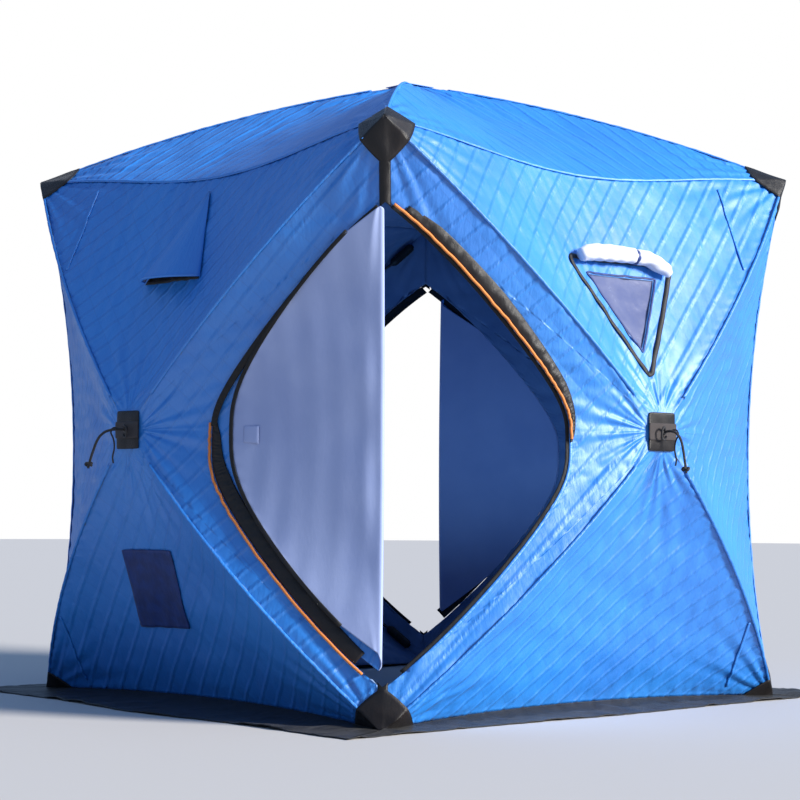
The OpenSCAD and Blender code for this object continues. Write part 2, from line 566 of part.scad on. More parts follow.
// ---- one line for each sub-part ----
front_wall_top();
front_wall_bottom();
front_wall_left();
front_wall_right();
right_wall_top();
right_wall_bottom();
right_wall_front();
right_wall_rear();
back_wall_top();
back_wall_bottom();
back_wall_right();
back_wall_left();
left_wall_top();
left_wall_bottom();
left_wall_rear();
left_wall_front();
roof_front();
roof_right();
roof_back();
roof_left();
pole_hubs();
wall_poles();
roof_poles();
top_corner_caps();
bottom_corner_caps();
hub_patches();
front_door_flap();
rear_door_flap();
storm_bands();
door_piping();
window_bindings();
window_panes();
window_rolls();
vent_hoods();
side_patches();
front_skirt();
right_skirt();
back_skirt();
left_skirt();
front_hub_cord();
right_hub_cord();
back_hub_cord();
left_hub_cord();
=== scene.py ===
import math

import bmesh
import bpy
import numpy as np
from mathutils import Matrix, Vector


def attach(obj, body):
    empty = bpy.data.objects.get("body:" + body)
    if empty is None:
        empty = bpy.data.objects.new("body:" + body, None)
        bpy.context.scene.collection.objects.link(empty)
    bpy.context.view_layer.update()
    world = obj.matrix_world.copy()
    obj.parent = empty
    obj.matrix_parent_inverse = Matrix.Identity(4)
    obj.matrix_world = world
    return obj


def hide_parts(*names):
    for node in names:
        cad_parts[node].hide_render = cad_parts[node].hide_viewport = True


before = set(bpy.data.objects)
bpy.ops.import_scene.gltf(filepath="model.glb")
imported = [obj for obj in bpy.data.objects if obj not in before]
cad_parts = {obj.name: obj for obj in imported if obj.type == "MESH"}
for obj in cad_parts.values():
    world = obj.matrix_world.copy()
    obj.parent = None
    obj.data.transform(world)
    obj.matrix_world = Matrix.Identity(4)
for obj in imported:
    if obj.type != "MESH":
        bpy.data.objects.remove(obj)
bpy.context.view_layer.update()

# ---------------------------------------------------------------- sizes, in metres
BASE, TOP, HIGH, PEAK = 0.880, 0.912, 1.760, 2.093
HUB_Z, HUB_OUT = 0.872, (0.880 + 0.912) / 2 + 0.266
HUB_FLAT = 0.118 * 0.38
EDGE_PULL, TOP_PULL, TOP_SAG, HEM_PULL, HEM_LIFT = 0.100, 0.080, 0.066, 0.070, 0.022
UP_BOW, LOW_BOW, ROOF_BOW, SLACK = 0.045, 0.058, 0.038, 0.7
DOOR_LOW, DOOR_HIGH, DOOR_SIDE = 0.116 / 1.76, 1 - 0.229 / 1.76, 0.281 / 0.8508
DOOR_MID, DOOR_HALF = (DOOR_LOW + DOOR_HIGH) / 2, (DOOR_HIGH - DOOR_LOW) / 2
CENTRE = np.array([0.0, 0.0, HIGH / 2])
SPAN = HUB_OUT * 0.94
CLOTH = 0.0045
QUILT = 0.058


# ---------------------------------------------------------------- the tent's own surfaces
def col(*parts):
    return np.stack(np.broadcast_arrays(*[np.asarray(p, float) for p in parts]), -1)


def mix(a, b, t):
    t = np.asarray(t, float)[..., None]
    return np.asarray(a, float) * (1 - t) + np.asarray(b, float) * t


def hump(t):
    return 4 * t * (1 - t)


def unit(v):
    return v / np.maximum(np.linalg.norm(v, axis=-1, keepdims=True), 1e-12)


def smooth(a, b, x):
    t = np.clip((x - a) / (b - a), 0, 1)
    return t * t * (3 - 2 * t)


def corner_edge(s):
    p = mix([-BASE, -BASE, 0], [-TOP, -TOP, HIGH], s)
    return p + (EDGE_PULL * hump(s) / math.sqrt(2))[..., None] * np.array([1, 1, 0])


def eave(s):
    return mix([-TOP, -TOP, HIGH], [TOP, -TOP, HIGH], s) + col(0, TOP_PULL * hump(s),
            -TOP_SAG * np.sin(np.pi * s) ** 2)


def hem(s):
    return mix([-BASE, -BASE, 0], [BASE, -BASE, 0], s) + col(0, HEM_PULL * hump(s), HEM_LIFT * hump(s))


def slack(s):
    return 1 - SLACK * hump(s)


def hub_corner(x, z):
    return np.array([x * HUB_FLAT, -HUB_OUT, HUB_Z + z * HUB_FLAT])


def wall_top(s, r):
    out = mix([-0.15, -0.97, 0.16], [0.15, -0.97, 0.16], s) * (hump(r) * slack(s) * UP_BOW)[..., None]
    return mix(mix(hub_corner(-1, 1), hub_corner(1, 1), s), eave(s), r) + out


def wall_bottom(s, r):
    out = mix([-0.15, -0.97, -0.16], [0.15, -0.97, -0.16], s) * (hump(r) * slack(s) * LOW_BOW)[..., None]
    return mix(mix(hub_corner(-1, -1), hub_corner(1, -1), s), hem(s), r) + out


def wall_left(s, r):
    low, up = LOW_BOW * np.array([-0.15, -0.97, -0.16]), UP_BOW * np.array([-0.15, -0.97, 0.16])
    return mix(mix(hub_corner(-1, -1), hub_corner(-1, 1), s), corner_edge(s), r) + mix(low, up,
            s) * (hump(r) * slack(s))[..., None]


def wall_right(s, r):
    return wall_left(s, r) * np.array([-1, 1, 1])


def roof(s, r):
    hub = mix([-HUB_FLAT, -HUB_FLAT, PEAK], [HUB_FLAT, -HUB_FLAT, PEAK], s)
    return mix(hub, eave(s), r) + col(0, 0, hump(r) * slack(s) * ROOF_BOW)


def door_share(s):
    u = np.clip(np.abs(s - DOOR_MID) / DOOR_HALF, 0, 1)
    return 1 - (1 - DOOR_SIDE) * np.sqrt(np.clip(1 - u ** np.where(s > DOOR_MID, 2.5, 3.6), 0, 1))


def grow(p, d):
    return CENTRE + (p - CENTRE) * (1 + np.asarray(d, float)[..., None] / SPAN)


def turn(p, q, flip=False):
    """Takes front-wall points to wall q (0 front, 1 right, 2 back, 3 left), mirrored first if flip."""
    p = np.array(p, float)
    if flip:
        p = p * np.array([-1, 1, 1])
    for _ in range(q):
        p = col(-p[..., 1], p[..., 0], p[..., 2])
    return p


def normal_of(surf, s, r, e=1e-3):
    a, b = surf(s + e, r) - surf(s - e, r), surf(s, r + e) - surf(s, r - e)
    n = unit(np.cross(a, b))
    away = surf(s, r) - CENTRE
    return n * np.sign((n * away).sum(-1, keepdims=True))


def edge_frame(s):
    """Point on the door's edge, the way into the opening along the cloth, the outward normal."""
    e, r = 0.004, door_share(s)
    along = unit(wall_left(s + e, door_share(s + e)) - wall_left(s - e, door_share(s - e)))
    across = wall_left(s, r + e) - wall_left(s, r - e)
    n = normal_of(wall_left, s, r)
    side = unit(np.cross(n, along))
    return wall_left(s, r), side * np.sign((side * across).sum(-1, keepdims=True)), n, along


def waves(u, v, seed, scale, count=7):
    """Smooth seeded unevenness, about -1 to 1, with lumps about scale metres wide."""
    g = np.random.default_rng(seed)
    total = 0
    for _ in range(count):
        a, k, ph = g.uniform(0, 2 * np.pi), g.uniform(0.6, 1.6) * np.pi / scale, g.uniform(0, 2 * np.pi)
        total = total + np.sin(k * (u * np.cos(a) + v * np.sin(a)) + ph)
    return total / math.sqrt(count) / 1.4


# ---------------------------------------------------------------- mesh making
def make_grid(nu, nv):
    bm = bmesh.new()
    bmesh.ops.create_grid(bm, x_segments=nu, y_segments=nv, size=1, calc_uvs=True)
    bm.verts.ensure_lookup_table()
    at = np.array([v.co[:2] for v in bm.verts])
    return bm, (at[:, 0] + 1) / 2, (at[:, 1] + 1) / 2


def place(bm, points, uv=None):
    for v, p in zip(bm.verts, points):
        v.co = p
    if uv is not None:
        layer = bm.loops.layers.uv.active or bm.loops.layers.uv.new("UVMap")
        for f in bm.faces:
            for loop in f.loops:
                loop[layer].uv = uv[loop.vert.index]


def face_out(bm, inside=CENTRE):
    bm.normal_update()
    away = sum(f.normal.dot(f.calc_center_median() - Vector(inside)) * f.calc_area() for f in bm.faces)
    if away < 0:
        bmesh.ops.reverse_faces(bm, faces=bm.faces)


def finish_piece(bm, name, mats, replaces=(), thick=0, offset=-1, rim=None, flat=False):
    mesh = bpy.data.meshes.new(name)
    for f in bm.faces:
        f.smooth = not flat
    bm.to_mesh(mesh)
    bm.free()
    for m in mats:
        mesh.materials.append(m)
    o = bpy.data.objects.new(name, mesh)
    bpy.context.scene.collection.objects.link(o)
    if thick:
        mod = o.modifiers.new("thickness", "SOLIDIFY")
        mod.thickness, mod.offset, mod.use_even_offset = thick, offset, False
        mod.material_offset = 1 if len(mats) > 1 else 0
        mod.material_offset_rim = (1 if len(mats) > 1 else 0) if rim is None else rim
    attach(o, "root")
    if replaces:
        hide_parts(*replaces)
    return o


def join_bm(parts):
    """One bmesh from several."""
    out = bmesh.new()
    for bm in parts:
        tmp = bpy.data.meshes.new("tmp")
        bm.to_mesh(tmp)
        bm.free()
        out.from_mesh(tmp)
        bpy.data.meshes.remove(tmp)
    return out


def strip_bm(mid, side, out, half, m=6, rise=None, closed=False, lift=None):
    """A ribbon along mid: side and out are unit directions, half the half width, rise(c) its height over c in -1..1."""
    n = len(mid) - (0 if closed else 1)
    bm, u, v = make_grid(n, m)
    i = np.rint(u * n).astype(int) % (len(mid) if closed else len(mid) + 1)
    c = v * 2 - 1
    half = np.broadcast_to(half, (len(mid),))
    p = mid[i] + side[i] * (c * half[i])[:, None]
    h = (rise(c, i) if rise else 0 * c) + (0 if lift is None else np.broadcast_to(lift, (len(mid),))[i])
    p = p + out[i] * h[:, None]
    step = np.concatenate([[0], np.cumsum(np.linalg.norm(np.diff(mid, axis=0), axis=1))])
    run = step[np.minimum(np.rint(u * n).astype(int), len(mid) - 1)]
    place(bm, p, col(run, c * half[i]))
    if closed:
        bmesh.ops.remove_doubles(bm, verts=bm.verts, dist=1e-5)
    bm.normal_update()
    want = Vector(out.mean(axis=0))
    if sum(f.normal.dot(want) * f.calc_area() for f in bm.faces) < 0:
        bmesh.ops.reverse_faces(bm, faces=bm.faces)
    return bm


def frames(path, start=(0, 0, 1)):
    t = unit(np.gradient(path, axis=0))
    u = unit(np.cross(t[0], np.array(start, float)))
    us = []
    for k in t:
        u = unit(u - k * (u @ k))
        us.append(u)
    us = np.array(us)
    return t, us, np.cross(t, us)


def tube_bm(path, radius, sides=16, start=(0, 0, 1), squash=1.0):
    """A closed round tube along path; radius may vary; its ends are capped."""
    t, a, b = frames(path, start)
    n = len(path) - 1
    bm, u, v = make_grid(sides, n)
    k, ang = np.rint(v * n).astype(int), u * 2 * np.pi
    radius = np.broadcast_to(radius, (len(path),))
    p = path[k] + (a[k] * np.cos(ang)[:, None] + b[k] * np.sin(ang)[:, None] * squash) * radius[k][:, None]
    run = np.concatenate([[0], np.cumsum(np.linalg.norm(np.diff(path, axis=0), axis=1))])
    place(bm, p, col(ang * radius[k], run[k]))
    bmesh.ops.remove_doubles(bm, verts=bm.verts, dist=1e-6)
    bmesh.ops.holes_fill(bm, edges=[e for e in bm.edges if e.is_boundary], sides=0)
    bmesh.ops.recalc_face_normals(bm, faces=bm.faces)
    return bm


# ---------------------------------------------------------------- finishes
class Wire:
    """A socket of a shader that takes part in plain sums."""

    def __init__(self, shop, socket):
        self.shop, self.socket = shop, socket

    def sum(self, how, other=None, back=False, third=None):
        a, b = (other, self) if back else (self, other)
        values = {0: a} if b is None else {0: a, 1: b}
        if third is not None:
            values[2] = third
        return self.shop.node("ShaderNodeMath", {"operation": how}, values)

    def __add__(self, o): return self.sum("ADD", o)
    def __radd__(self, o): return self.sum("ADD", o, True)
    def __sub__(self, o): return self.sum("SUBTRACT", o)
    def __rsub__(self, o): return self.sum("SUBTRACT", o, True)
    def __mul__(self, o): return self.sum("MULTIPLY", o)
    def __rmul__(self, o): return self.sum("MULTIPLY", o, True)
    def __truediv__(self, o): return self.sum("DIVIDE", o)
    def __pow__(self, o): return self.sum("POWER", o)
    def fract(self): return self.sum("FRACT")
    def abs(self): return self.sum("ABSOLUTE")
    def sine(self): return self.sum("SINE")
    def over(self, edge): return self.sum("GREATER_THAN", edge)
    def top(self, other): return self.sum("MAXIMUM", other)
    def low(self, other): return self.sum("MINIMUM", other)

    def ramp(self, a, b, lo=0.0, hi=1.0):
        return self.shop.node("ShaderNodeMapRange", {"interpolation_type": "SMOOTHSTEP", "clamp": True},
                              {"Value": self, "From Min": a, "From Max": b, "To Min": lo, "To Max": hi})


class Finish:
    """A material: one Principled shader with whatever drives it."""

    def __init__(self, name, colour, rough, **fixed):
        self.mat = bpy.data.materials.new(name)
        self.mat.use_nodes = True
        self.tree = self.mat.node_tree
        self.tree.nodes.clear()
        self.shader = self.tree.nodes.new("ShaderNodeBsdfPrincipled")
        out = self.tree.nodes.new("ShaderNodeOutputMaterial")
        self.tree.links.new(self.shader.outputs[0], out.inputs[0])
        self.out = out
        self.mat.diffuse_color = (*colour, 1)
        self.feed("Base Color", (*colour, 1))
        self.feed("Roughness", rough)
        for key, value in fixed.items():
            self.feed(key.replace("_", " ").title().replace("Ior", "IOR"), value)

    def feed(self, name, value):
        s = self.shader.inputs[name]
        if isinstance(value, Wire):
            self.tree.links.new(value.socket, s)
        else:
            s.default_value = value

    def node(self, kind, settings=None, sockets=None, out=0):
        n = self.tree.nodes.new(kind)
        for key, value in (settings or {}).items():
            if key == "stops":
                while len(n.color_ramp.elements) < len(value):
                    n.color_ramp.elements.new(0.5)
                for e, (at, c) in zip(n.color_ramp.elements, value):
                    e.position, e.color = at, (*c, 1)
            else:
                setattr(n, key, value)
        for key, value in (sockets or {}).items():
            s = n.inputs[key]
            if isinstance(value, Wire):
                self.tree.links.new(value.socket, s)
            else:
                s.default_value = value
        return Wire(self, n.outputs[out])

    def place(self, what="UV", turn=0.0, scale=(1, 1, 1)):
        v = self.node("ShaderNodeTexCoord", out=what)
        return self.node("ShaderNodeMapping", {}, {0: v, "Rotation": (0, 0, turn), "Scale": scale})

    def parts(self, vector):
        n = self.tree.nodes.new("ShaderNodeSeparateXYZ")
        self.tree.links.new(vector.socket, n.inputs[0])
        return [Wire(self, s) for s in n.outputs]

    def noise(self, vector, scale, detail=3.0, rough=0.5):
        return self.node("ShaderNodeTexNoise", {},
                {"Vector": vector, "Scale": scale, "Detail": detail, "Roughness": rough})

    def blend(self, t, a, b):
        n = self.tree.nodes.new("ShaderNodeMix")
        n.data_type = "RGBA"
        for key, value in ((0, t), (6, a), (7, b)):
            if isinstance(value, Wire):
                self.tree.links.new(value.socket, n.inputs[key])
            else:
                n.inputs[key].default_value = value if key == 0 else (*value[:3], 1)
        return Wire(self, n.outputs[2])

    def raise_by(self, height, distance, strength=1.0, under=None):
        sockets = {"Height": height, "Distance": distance, "Strength": strength}
        if under is not None:
            sockets["Normal"] = under
        b = self.node("ShaderNodeBump", {}, sockets)
        self.feed("Normal", b)
        return b


def lin(r, g, b):
    return tuple(((c / 255) / 12.92 if c / 255 <= 0.04045 else ((c / 255 + 0.055) / 1.055) ** 2.4) for c in (r, g, b))


def shell_cloth(name, colour, dark, line, quilt=True, straight=False, rough=0.46, grain=1.0):
    """Coated polyester with padding stitched in: puckers, stitch lines and a fine plain weave."""
    m = Finish(name, colour, rough, specular_ior_level=1.0, coat_weight=0.35, coat_roughness=0.5,
            sheen_weight=0.02, sheen_roughness=0.4)
    plan = m.place("UV", 0 if straight else math.pi / 4)
    u, v, _ = m.parts(plan)
    patchy = m.noise(m.place("Object"), 2.2, 4)
    small = m.noise(plan, 70, 2)
    base = m.blend(patchy.ramp(0.3, 0.75), colour, dark)
    pucker = m.noise(m.place("UV", 0.35, (1, 0.35, 1)), 62, 2, 0.6)
    creases = m.noise(m.place("UV", -0.9, (1, 0.22, 1)), 24, 3, 0.6)
    rough_now = 0.02 + rough + small * 0.06
    height = pucker * 0.5 + creases * 0.5
    if quilt:
        a = ((u / QUILT).fract() - 0.5).abs()
        seam = a.ramp(0.462, 0.492)
        if not straight:
            seam = seam.top(((v / QUILT).fract() - 0.5).abs().ramp(0.462, 0.492))
        # the stitches themselves: short dashes along each line
        dash = ((v / 0.0042).fract() - 0.5).abs().ramp(0.1, 0.22)
        base = m.blend(seam * (0.08 + 0.16 * dash), base, line)
        near = a.ramp(0.30, 0.5)
        height = height * (0.55 + near * 0.9)
    m.feed("Base Color", base)
    m.feed("Roughness", rough_now)
    first = m.raise_by(height, 0.008 * grain, 0.75)
    weave = (u * (2 * math.pi / 0.0011)).sine() * (v * (2 * math.pi / 0.0011)).sine()
    m.raise_by(weave, 0.0002, 0.25, first)
    return m.mat


BLUE, BLUE_DARK, BLUE_LINE = lin(16, 127, 216), lin(10, 113, 203), lin(5, 80, 160)
mat_quilt = shell_cloth("blue_quilted_shell", BLUE, BLUE_DARK, BLUE_LINE)
mat_roof = shell_cloth("blue_roof_shell", lin(20, 131, 222), lin(12, 118, 209), BLUE_LINE, straight=True)
mat_smooth = shell_cloth("blue_plain_shell", lin(18, 129, 218), lin(12, 115, 205), BLUE_LINE, quilt=False)


def lining(name, colour, dark, rough=0.6, relief_share=1.0):
    m = Finish(name, colour, rough, specular_ior_level=0.4, sheen_weight=0.15)
    soft = m.noise(m.place("Object"), 5, 4)
    m.feed("Base Color", m.blend(soft.ramp(0.35, 0.7), colour, dark))
    crumple = m.noise(m.place("Object", 0.4, (1, 1, 0.6)), 16, 5, 0.62)
    fine = m.noise(m.place("Object"), 420, 2)
    first = m.raise_by(crumple, 0.006 * relief_share, 0.5)
    m.raise_by(fine, 0.0004, 0.3, first)
    m.feed("Roughness", soft * 0.12 + rough - 0.05)
    return m.mat


# The walls' inner lining is the same white cloth as white_lining; its slate blue here is painted shade, the white
# lining as it looks in the dim inside of the tent.
mat_shaded_lining = lining("shaded_slate_lining", lin(108, 136, 176), lin(92, 122, 164))
mat_white = lining("white_lining", lin(216, 218, 228), lin(206, 209, 222), 0.5, 0.45)
# The door's lining is the same white cloth as white_lining; this lavender blue is painted shade, the white lining as it
# looks in the tent's shadow.
mat_shaded_door_lining = lining("shaded_door_lining", lin(158, 172, 212), lin(148, 163, 206), 0.5, 0.35)


def dark_cloth(name, colour, pale, rough=0.5, twill=0.0016, wear=0.35):
    """Heavy coated cloth: twill rib, dust and pale rubbed folds."""
    m = Finish(name, colour, rough, specular_ior_level=0.4, sheen_weight=0.05, sheen_roughness=0.4)
    plan = m.place("Object")
    x, y, z = m.parts(plan)
    dust = m.noise(plan, 9, 5, 0.65)
    m.feed("Base Color", m.blend(dust.ramp(0.42, 0.8) * wear, colour, pale))
    fold = m.noise(m.place("Object", 0.6, (1, 1, 0.5)), 30, 4, 0.6)
    rib = ((x + y + z) * (2 * math.pi / twill)).sine()
    first = m.raise_by(fold, 0.004, 0.5)
    m.raise_by(rib, 0.0003, 0.35, first)
    m.feed("Roughness", rough - 0.08 + dust * 0.2)
    return m.mat


mat_black = dark_cloth("black_heavy_cloth", lin(13, 12, 14), lin(34, 30, 31))
mat_cap = dark_cloth("black_cap_cloth", lin(16, 13, 14), lin(48, 37, 35), 0.42)
mat_skirt = dark_cloth("black_skirt_cloth", lin(12, 12, 14), lin(32, 30, 32), 0.45)
mat_zip = dark_cloth("zip_tape", lin(14, 14, 16), lin(34, 32, 34), 0.6, 0.003, 0.2)


def webbing(name, colour, pale):
    m = Finish(name, colour, 0.65, sheen_weight=0.08)
    u, v, _ = m.parts(m.place("UV"))
    rib = (u * (2 * math.pi / 0.0022)).sine() * 0.5 + (v * (2 * math.pi / 0.0016)).sine() * 0.5
    m.feed("Base Color", m.blend(rib.ramp(-0.6, 0.8), colour, pale))
    m.raise_by(rib, 0.0005, 0.6)
    return m.mat


mat_band = webbing("grey_webbing", lin(34, 29, 30), lin(60, 50, 50))
mat_orange = webbing("orange_piping", lin(214, 116, 44), lin(238, 150, 74))
mat_cord = webbing("black_braid", lin(16, 15, 18), lin(38, 36, 40))


def film(name):
    m = Finish(name, lin(108, 114, 150), 0.24, specular_ior_level=0.5, coat_weight=0.2, coat_roughness=0.15)
    cloud = m.noise(m.place("Object"), 12, 5, 0.6)
    m.feed("Base Color", m.blend(cloud.ramp(0.3, 0.75), lin(98, 106, 146), lin(118, 124, 156)))
    m.feed("Roughness", cloud * 0.25 + 0.12)
    m.feed("Alpha", 0.74)
    m.raise_by(m.noise(m.place("Object", 0.3), 26, 3), 0.006, 0.4)
    return m.mat


mat_film = film("clouded_window_film")


def rod(name, colour, rough):
    m = Finish(name, colour, rough, coat_weight=0.2)
    g = m.noise(m.place("Object", 0, (1, 1, 0.05)), 300, 2)
    m.feed("Roughness", g * 0.2 + rough - 0.1)
    m.feed("Base Color", m.blend(g.ramp(0.3, 0.8), colour, tuple(c * 1.6 for c in colour)))
    m.raise_by(g, 0.0004, 0.3)
    return m.mat


mat_pole = rod("black_fibre_rod", lin(22, 22, 24), 0.4)
mat_hub = rod("grey_moulding", lin(50, 52, 56), 0.5)


# Navy cloth for the window's inner edges and cover ties. The dark patches low on the side walls use it too, and there
# it is painted shadow of a pocket inside the tent, seen through the cloth.
def navy_trim_and_shadow_cloth(name):
    m = Finish(name, lin(4, 34, 92), 0.55, sheen_weight=0.1)
    n = m.noise(m.place("Object"), 30, 4)
    m.feed("Base Color", m.blend(n.ramp(0.35, 0.7), lin(3, 34, 96), lin(5, 46, 116)))
    m.raise_by(m.noise(m.place("Object", 0.5, (1, 1, 0.4)), 60, 3), 0.004, 0.4)
    return m.mat


mat_navy_trim_and_shadow = navy_trim_and_shadow_cloth("navy_patch")

# ---------------------------------------------------------------- camera
scene = bpy.context.scene
scene.view_settings.view_transform = 'Standard'
yaw, pitch, roll = math.radians(41.5856), math.radians(2.6041), math.radians(0.3248)
ahead = Vector((math.sin(yaw) * math.cos(pitch), math.cos(yaw) * math.cos(pitch), math.sin(pitch)))
right = Vector((math.cos(yaw), -math.sin(yaw), 0))
above = right.cross(ahead)
right, above = right * math.cos(roll) + above * math.sin(roll), above * math.cos(roll) - right * math.sin(roll)
lens = bpy.data.cameras.new("camera")
lens.lens, lens.sensor_width, lens.clip_end = 96.29, 36, 60
camera = bpy.data.objects.new("camera", lens)
camera.matrix_world = Matrix.Translation((-4.929, -5.513, 0.668)) @ Matrix((right, above,
        -ahead)).transposed().to_4x4()
scene.collection.objects.link(camera)
scene.camera = camera

# ---------------------------------------------------------------- pull cords on the wall hubs
SIDE_CORD = [[-2, -14, 0], [-8, -32, 1], [-18, -50, -1], [-30, -66, -8], [-40, -78, -22], [-46, -86, -40],
             [-50, -92, -60], [-54, -97, -80], [-58, -101, -100], [-62, -104, -120]]
FRONT_CORD = [[2, -14, 0], [6, -30, 2], [12, -44, -2], [18, -54, -14], [22, -60, -30], [25, -63, -48],
              [27, -65, -66], [29, -67, -86], [31, -69, -106], [33, -70, -126]]


def refine(points, n):
    """A smooth curve with n points through chosen points."""
    pts = np.array(points, float)
    k = len(pts) - 1
    at = np.linspace(0, k, n)
    i = np.minimum(at.astype(int), k - 1)
    f = (at - i)[:, None]
    p0, p1, p2, p3 = (pts[np.clip(i + d, 0, k)] for d in (-1, 0, 1, 2))
    return 0.5 * (2 * p1 + (p2 - p0) * f + (2 * p0 - 5 * p1 + 4 * p2 - p3) * f ** 2 + (3 * p1 - p0 - 3 * p2 + p3) * f ** 3)


def from_hub(route, q):
    pts = np.array(route, float) / 1000 + np.array([0, -HUB_OUT, HUB_Z])
    return turn(pts, q)


for q, side in enumerate(("front", "right", "back", "left")):
    route = refine(from_hub(FRONT_CORD if q % 2 == 0 else SIDE_CORD, q), 28)
    # a loose knot close to the hub, and a thin second tail that hangs beside the cord
    k = np.linspace(0, 2 * np.pi, 40)
    knot = route[25] + col(np.sin(k) + 2 * np.sin(2 * k), np.cos(k) - 2 * np.cos(2 * k),
            -np.sin(3 * k)) * 0.0035
    sgn = 1 if q % 2 == 0 else -1
    tail = refine(from_hub([[sgn * 8, -22, 0], [sgn * 16, -42, 6], [sgn * 20, -50, -8], [sgn * 14, -44, -30],
            [sgn * 12, -42, -56], [sgn * 15, -46, -84], [sgn * 13, -44, -104]], q), 26)
    loop = refine(from_hub([[-sgn * 2, -15, 4], [-sgn * 14, -24, 14], [-sgn * 26, -26, 4],
            [-sgn * 24, -22, -16], [-sgn * 10, -18, -24], [sgn * 4, -15, -14]], q), 26)
    bm = join_bm([tube_bm(knot, 0.0042, 10), tube_bm(tail, 0.0026, 8), tube_bm(loop, 0.0034, 8)])
    extra = finish_piece(bm, side + "_cord_knot", [mat_cord])
    data = bpy.data.curves.new(side + "_pull_cord", "CURVE")
    data.dimensions, data.bevel_depth, data.bevel_resolution, data.use_fill_caps = "3D", 0.004, 4, True
    line = data.splines.new("POLY")
    line.points.add(len(route) - 1)
    for pt, co in zip(line.points, route):
        pt.co = (*co, 1)
    data.materials.append(mat_cord)
    cord = bpy.data.objects.new(side + "_pull_cord", data)
    scene.collection.objects.link(cord)
    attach(cord, "root")
    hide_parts(side + "_hub_cord")
    length = float(np.linalg.norm(np.diff(route, axis=0), axis=1).sum())

# ---------------------------------------------------------------- fabric panels
E = 0.0002 / BASE
SHELL = {"top": wall_top, "bottom": wall_bottom, "left": wall_left, "right": wall_right, "roof": roof}
TL, BL = np.array([-TOP, -TOP, HIGH]), np.array([-BASE, -BASE, 0.0])


def flat_uv(kind, p):
    """Metres along the cloth, drawn on the wall's own plane."""
    if kind == "roof":
        return col(p[:, 0], np.hypot(p[:, 1] + 0.9, p[:, 2] - 1.7))
    if kind in ("left", "right"):
        return col(np.sign(p[:, 0]) * np.hypot(p[:, 0], p[:, 1] + HUB_OUT), p[:, 2] - HUB_Z)
    return col(p[:, 0], np.sign(p[:, 2] - HUB_Z) * np.hypot(p[:, 2] - HUB_Z, p[:, 1] + HUB_OUT))


def padded_relief(uv, straight):
    c = math.sqrt(0.5)
    if straight:
        return np.sqrt(np.abs(np.sin(np.pi * uv[:, 0] / QUILT)))
    a, b = uv[:, 0] * c - uv[:, 1] * c, uv[:, 0] * c + uv[:, 1] * c
    return np.sqrt(np.abs(np.sin(np.pi * a / QUILT) * np.sin(np.pi * b / QUILT)))


def creases_from(uv, at, reach, spokes, seed):
    d = uv - np.array(at)
    dist, ang = np.hypot(d[:, 0], d[:, 1]), np.arctan2(d[:, 1], d[:, 0])
    wob = 1.5 * waves(uv[:, 0], uv[:, 1], seed, 0.3)
    ridge = np.sin(spokes * ang + wob) + 0.6 * np.sin(spokes * 1.7 * ang - wob + seed)
    return ridge * np.exp(-((dist - 0.08) / reach) ** 2) * smooth(0.01, 0.07, dist)


def seam_pucker(away, run, pitch=0.046, wide=0.03, seed=1):
    beat = np.abs(np.sin(np.pi * run / pitch + 0.9 * waves(run, run * 0, seed, 0.2)))
    return -np.exp(-(away / wide) ** 2) * (1 - beat) ** 1.5


PUFF = {"top": 0.0005, "bottom": 0.0008, "left": 0.0016, "right": 0.0016, "roof": 0.0013}


def relief(kind, s, r, seed):
    """How far the cloth stands off its smooth surface, in metres."""
    surf = SHELL[kind]
    uv = flat_uv(kind, surf(s, r))
    low, high, hub = flat_uv(kind, surf(np.array([0.0, 1.0, 0.5]), np.array([1.0, 1.0, 0.0])))
    half = HUB_FLAT + (TOP - HUB_FLAT) * r
    run = r * 1.25
    h = PUFF[kind] * padded_relief(uv, kind == "roof")
    near_pole = np.minimum(s, 1 - s) * 2 * half * (0.9 if kind in ("left", "right") else 1)
    h = h + 0.0042 * seam_pucker(near_pole, run, seed=seed)
    edge = (1 - r) * 0.9
    h = h + 0.0045 * seam_pucker(edge, s * 1.8, seed=seed + 1)
    h = h + 0.0030 * creases_from(uv, low, 0.30, 26, seed + 2) + 0.0030 * creases_from(uv, high, 0.30, 26,
            seed + 3)
    h = h + 0.0022 * creases_from(uv, hub, 0.26, 18, seed + 4)
    # long soft ripples along the cloth's pull, and a general unevenness
    pull = {"top": (1.0, 0.25), "bottom": (0.8, 0.35), "left": (0.25, 1.0), "right": (0.25, 1.0),
            "roof": (1.0, 0.2)}[kind]
    h = h + 0.0017 * waves(uv[:, 0] * pull[0], uv[:, 1] * pull[1], seed + 5, 0.030,
            8) + 0.0009 * waves(uv[:, 0], uv[:, 1], seed + 7, 0.05, 9)
    h = h + 0.0032 * waves(uv[:, 0], uv[:, 1], seed + 6, 0.17, 6)
    calm = smooth(0, 0.015, near_pole) * smooth(0, 0.02, edge) * smooth(0.0, 0.06, r)
    return h * (0.25 + 0.75 * calm)


def cloth_piece(kind, q, name, nodes, mats, s, r, nu_bm, seed, flip=False, cut=None, extra=None):
    bm, _, _ = nu_bm
    surf = SHELL[kind]
    p = surf(s, r)
    uv = flat_uv(kind, p)
    lift = relief(kind, s, r, seed)
    if extra is not None:
        lift = lift + extra(uv, s, r)
    p = p + normal_of(surf, s, np.clip(r, 0.002, 0.998)) * (lift - 0.0012)[:, None]
    place(bm, turn(p, 0, flip), uv * (np.array([-1, 1]) if flip else 1))
    if cut:
        cut(bm)
    if q:
        bmesh.ops.rotate(bm, cent=(0, 0, 0), matrix=Matrix.Rotation(q * math.pi / 2, 3, "Z"), verts=bm.verts)
    face_out(bm)
    o = finish_piece(bm, name, mats, nodes, CLOTH)
    return o


WIN_W, WIN_H, WIN_TOP = 0.300, 0.232, 0.486
def window_corners(g):
    k = g * 1.75
    return np.array([[-WIN_W / 2 - k, WIN_TOP + g], [WIN_W / 2 + k, WIN_TOP + g],
            [0, WIN_TOP - WIN_H - g * 1.75]]) + np.array([0, HUB_Z])


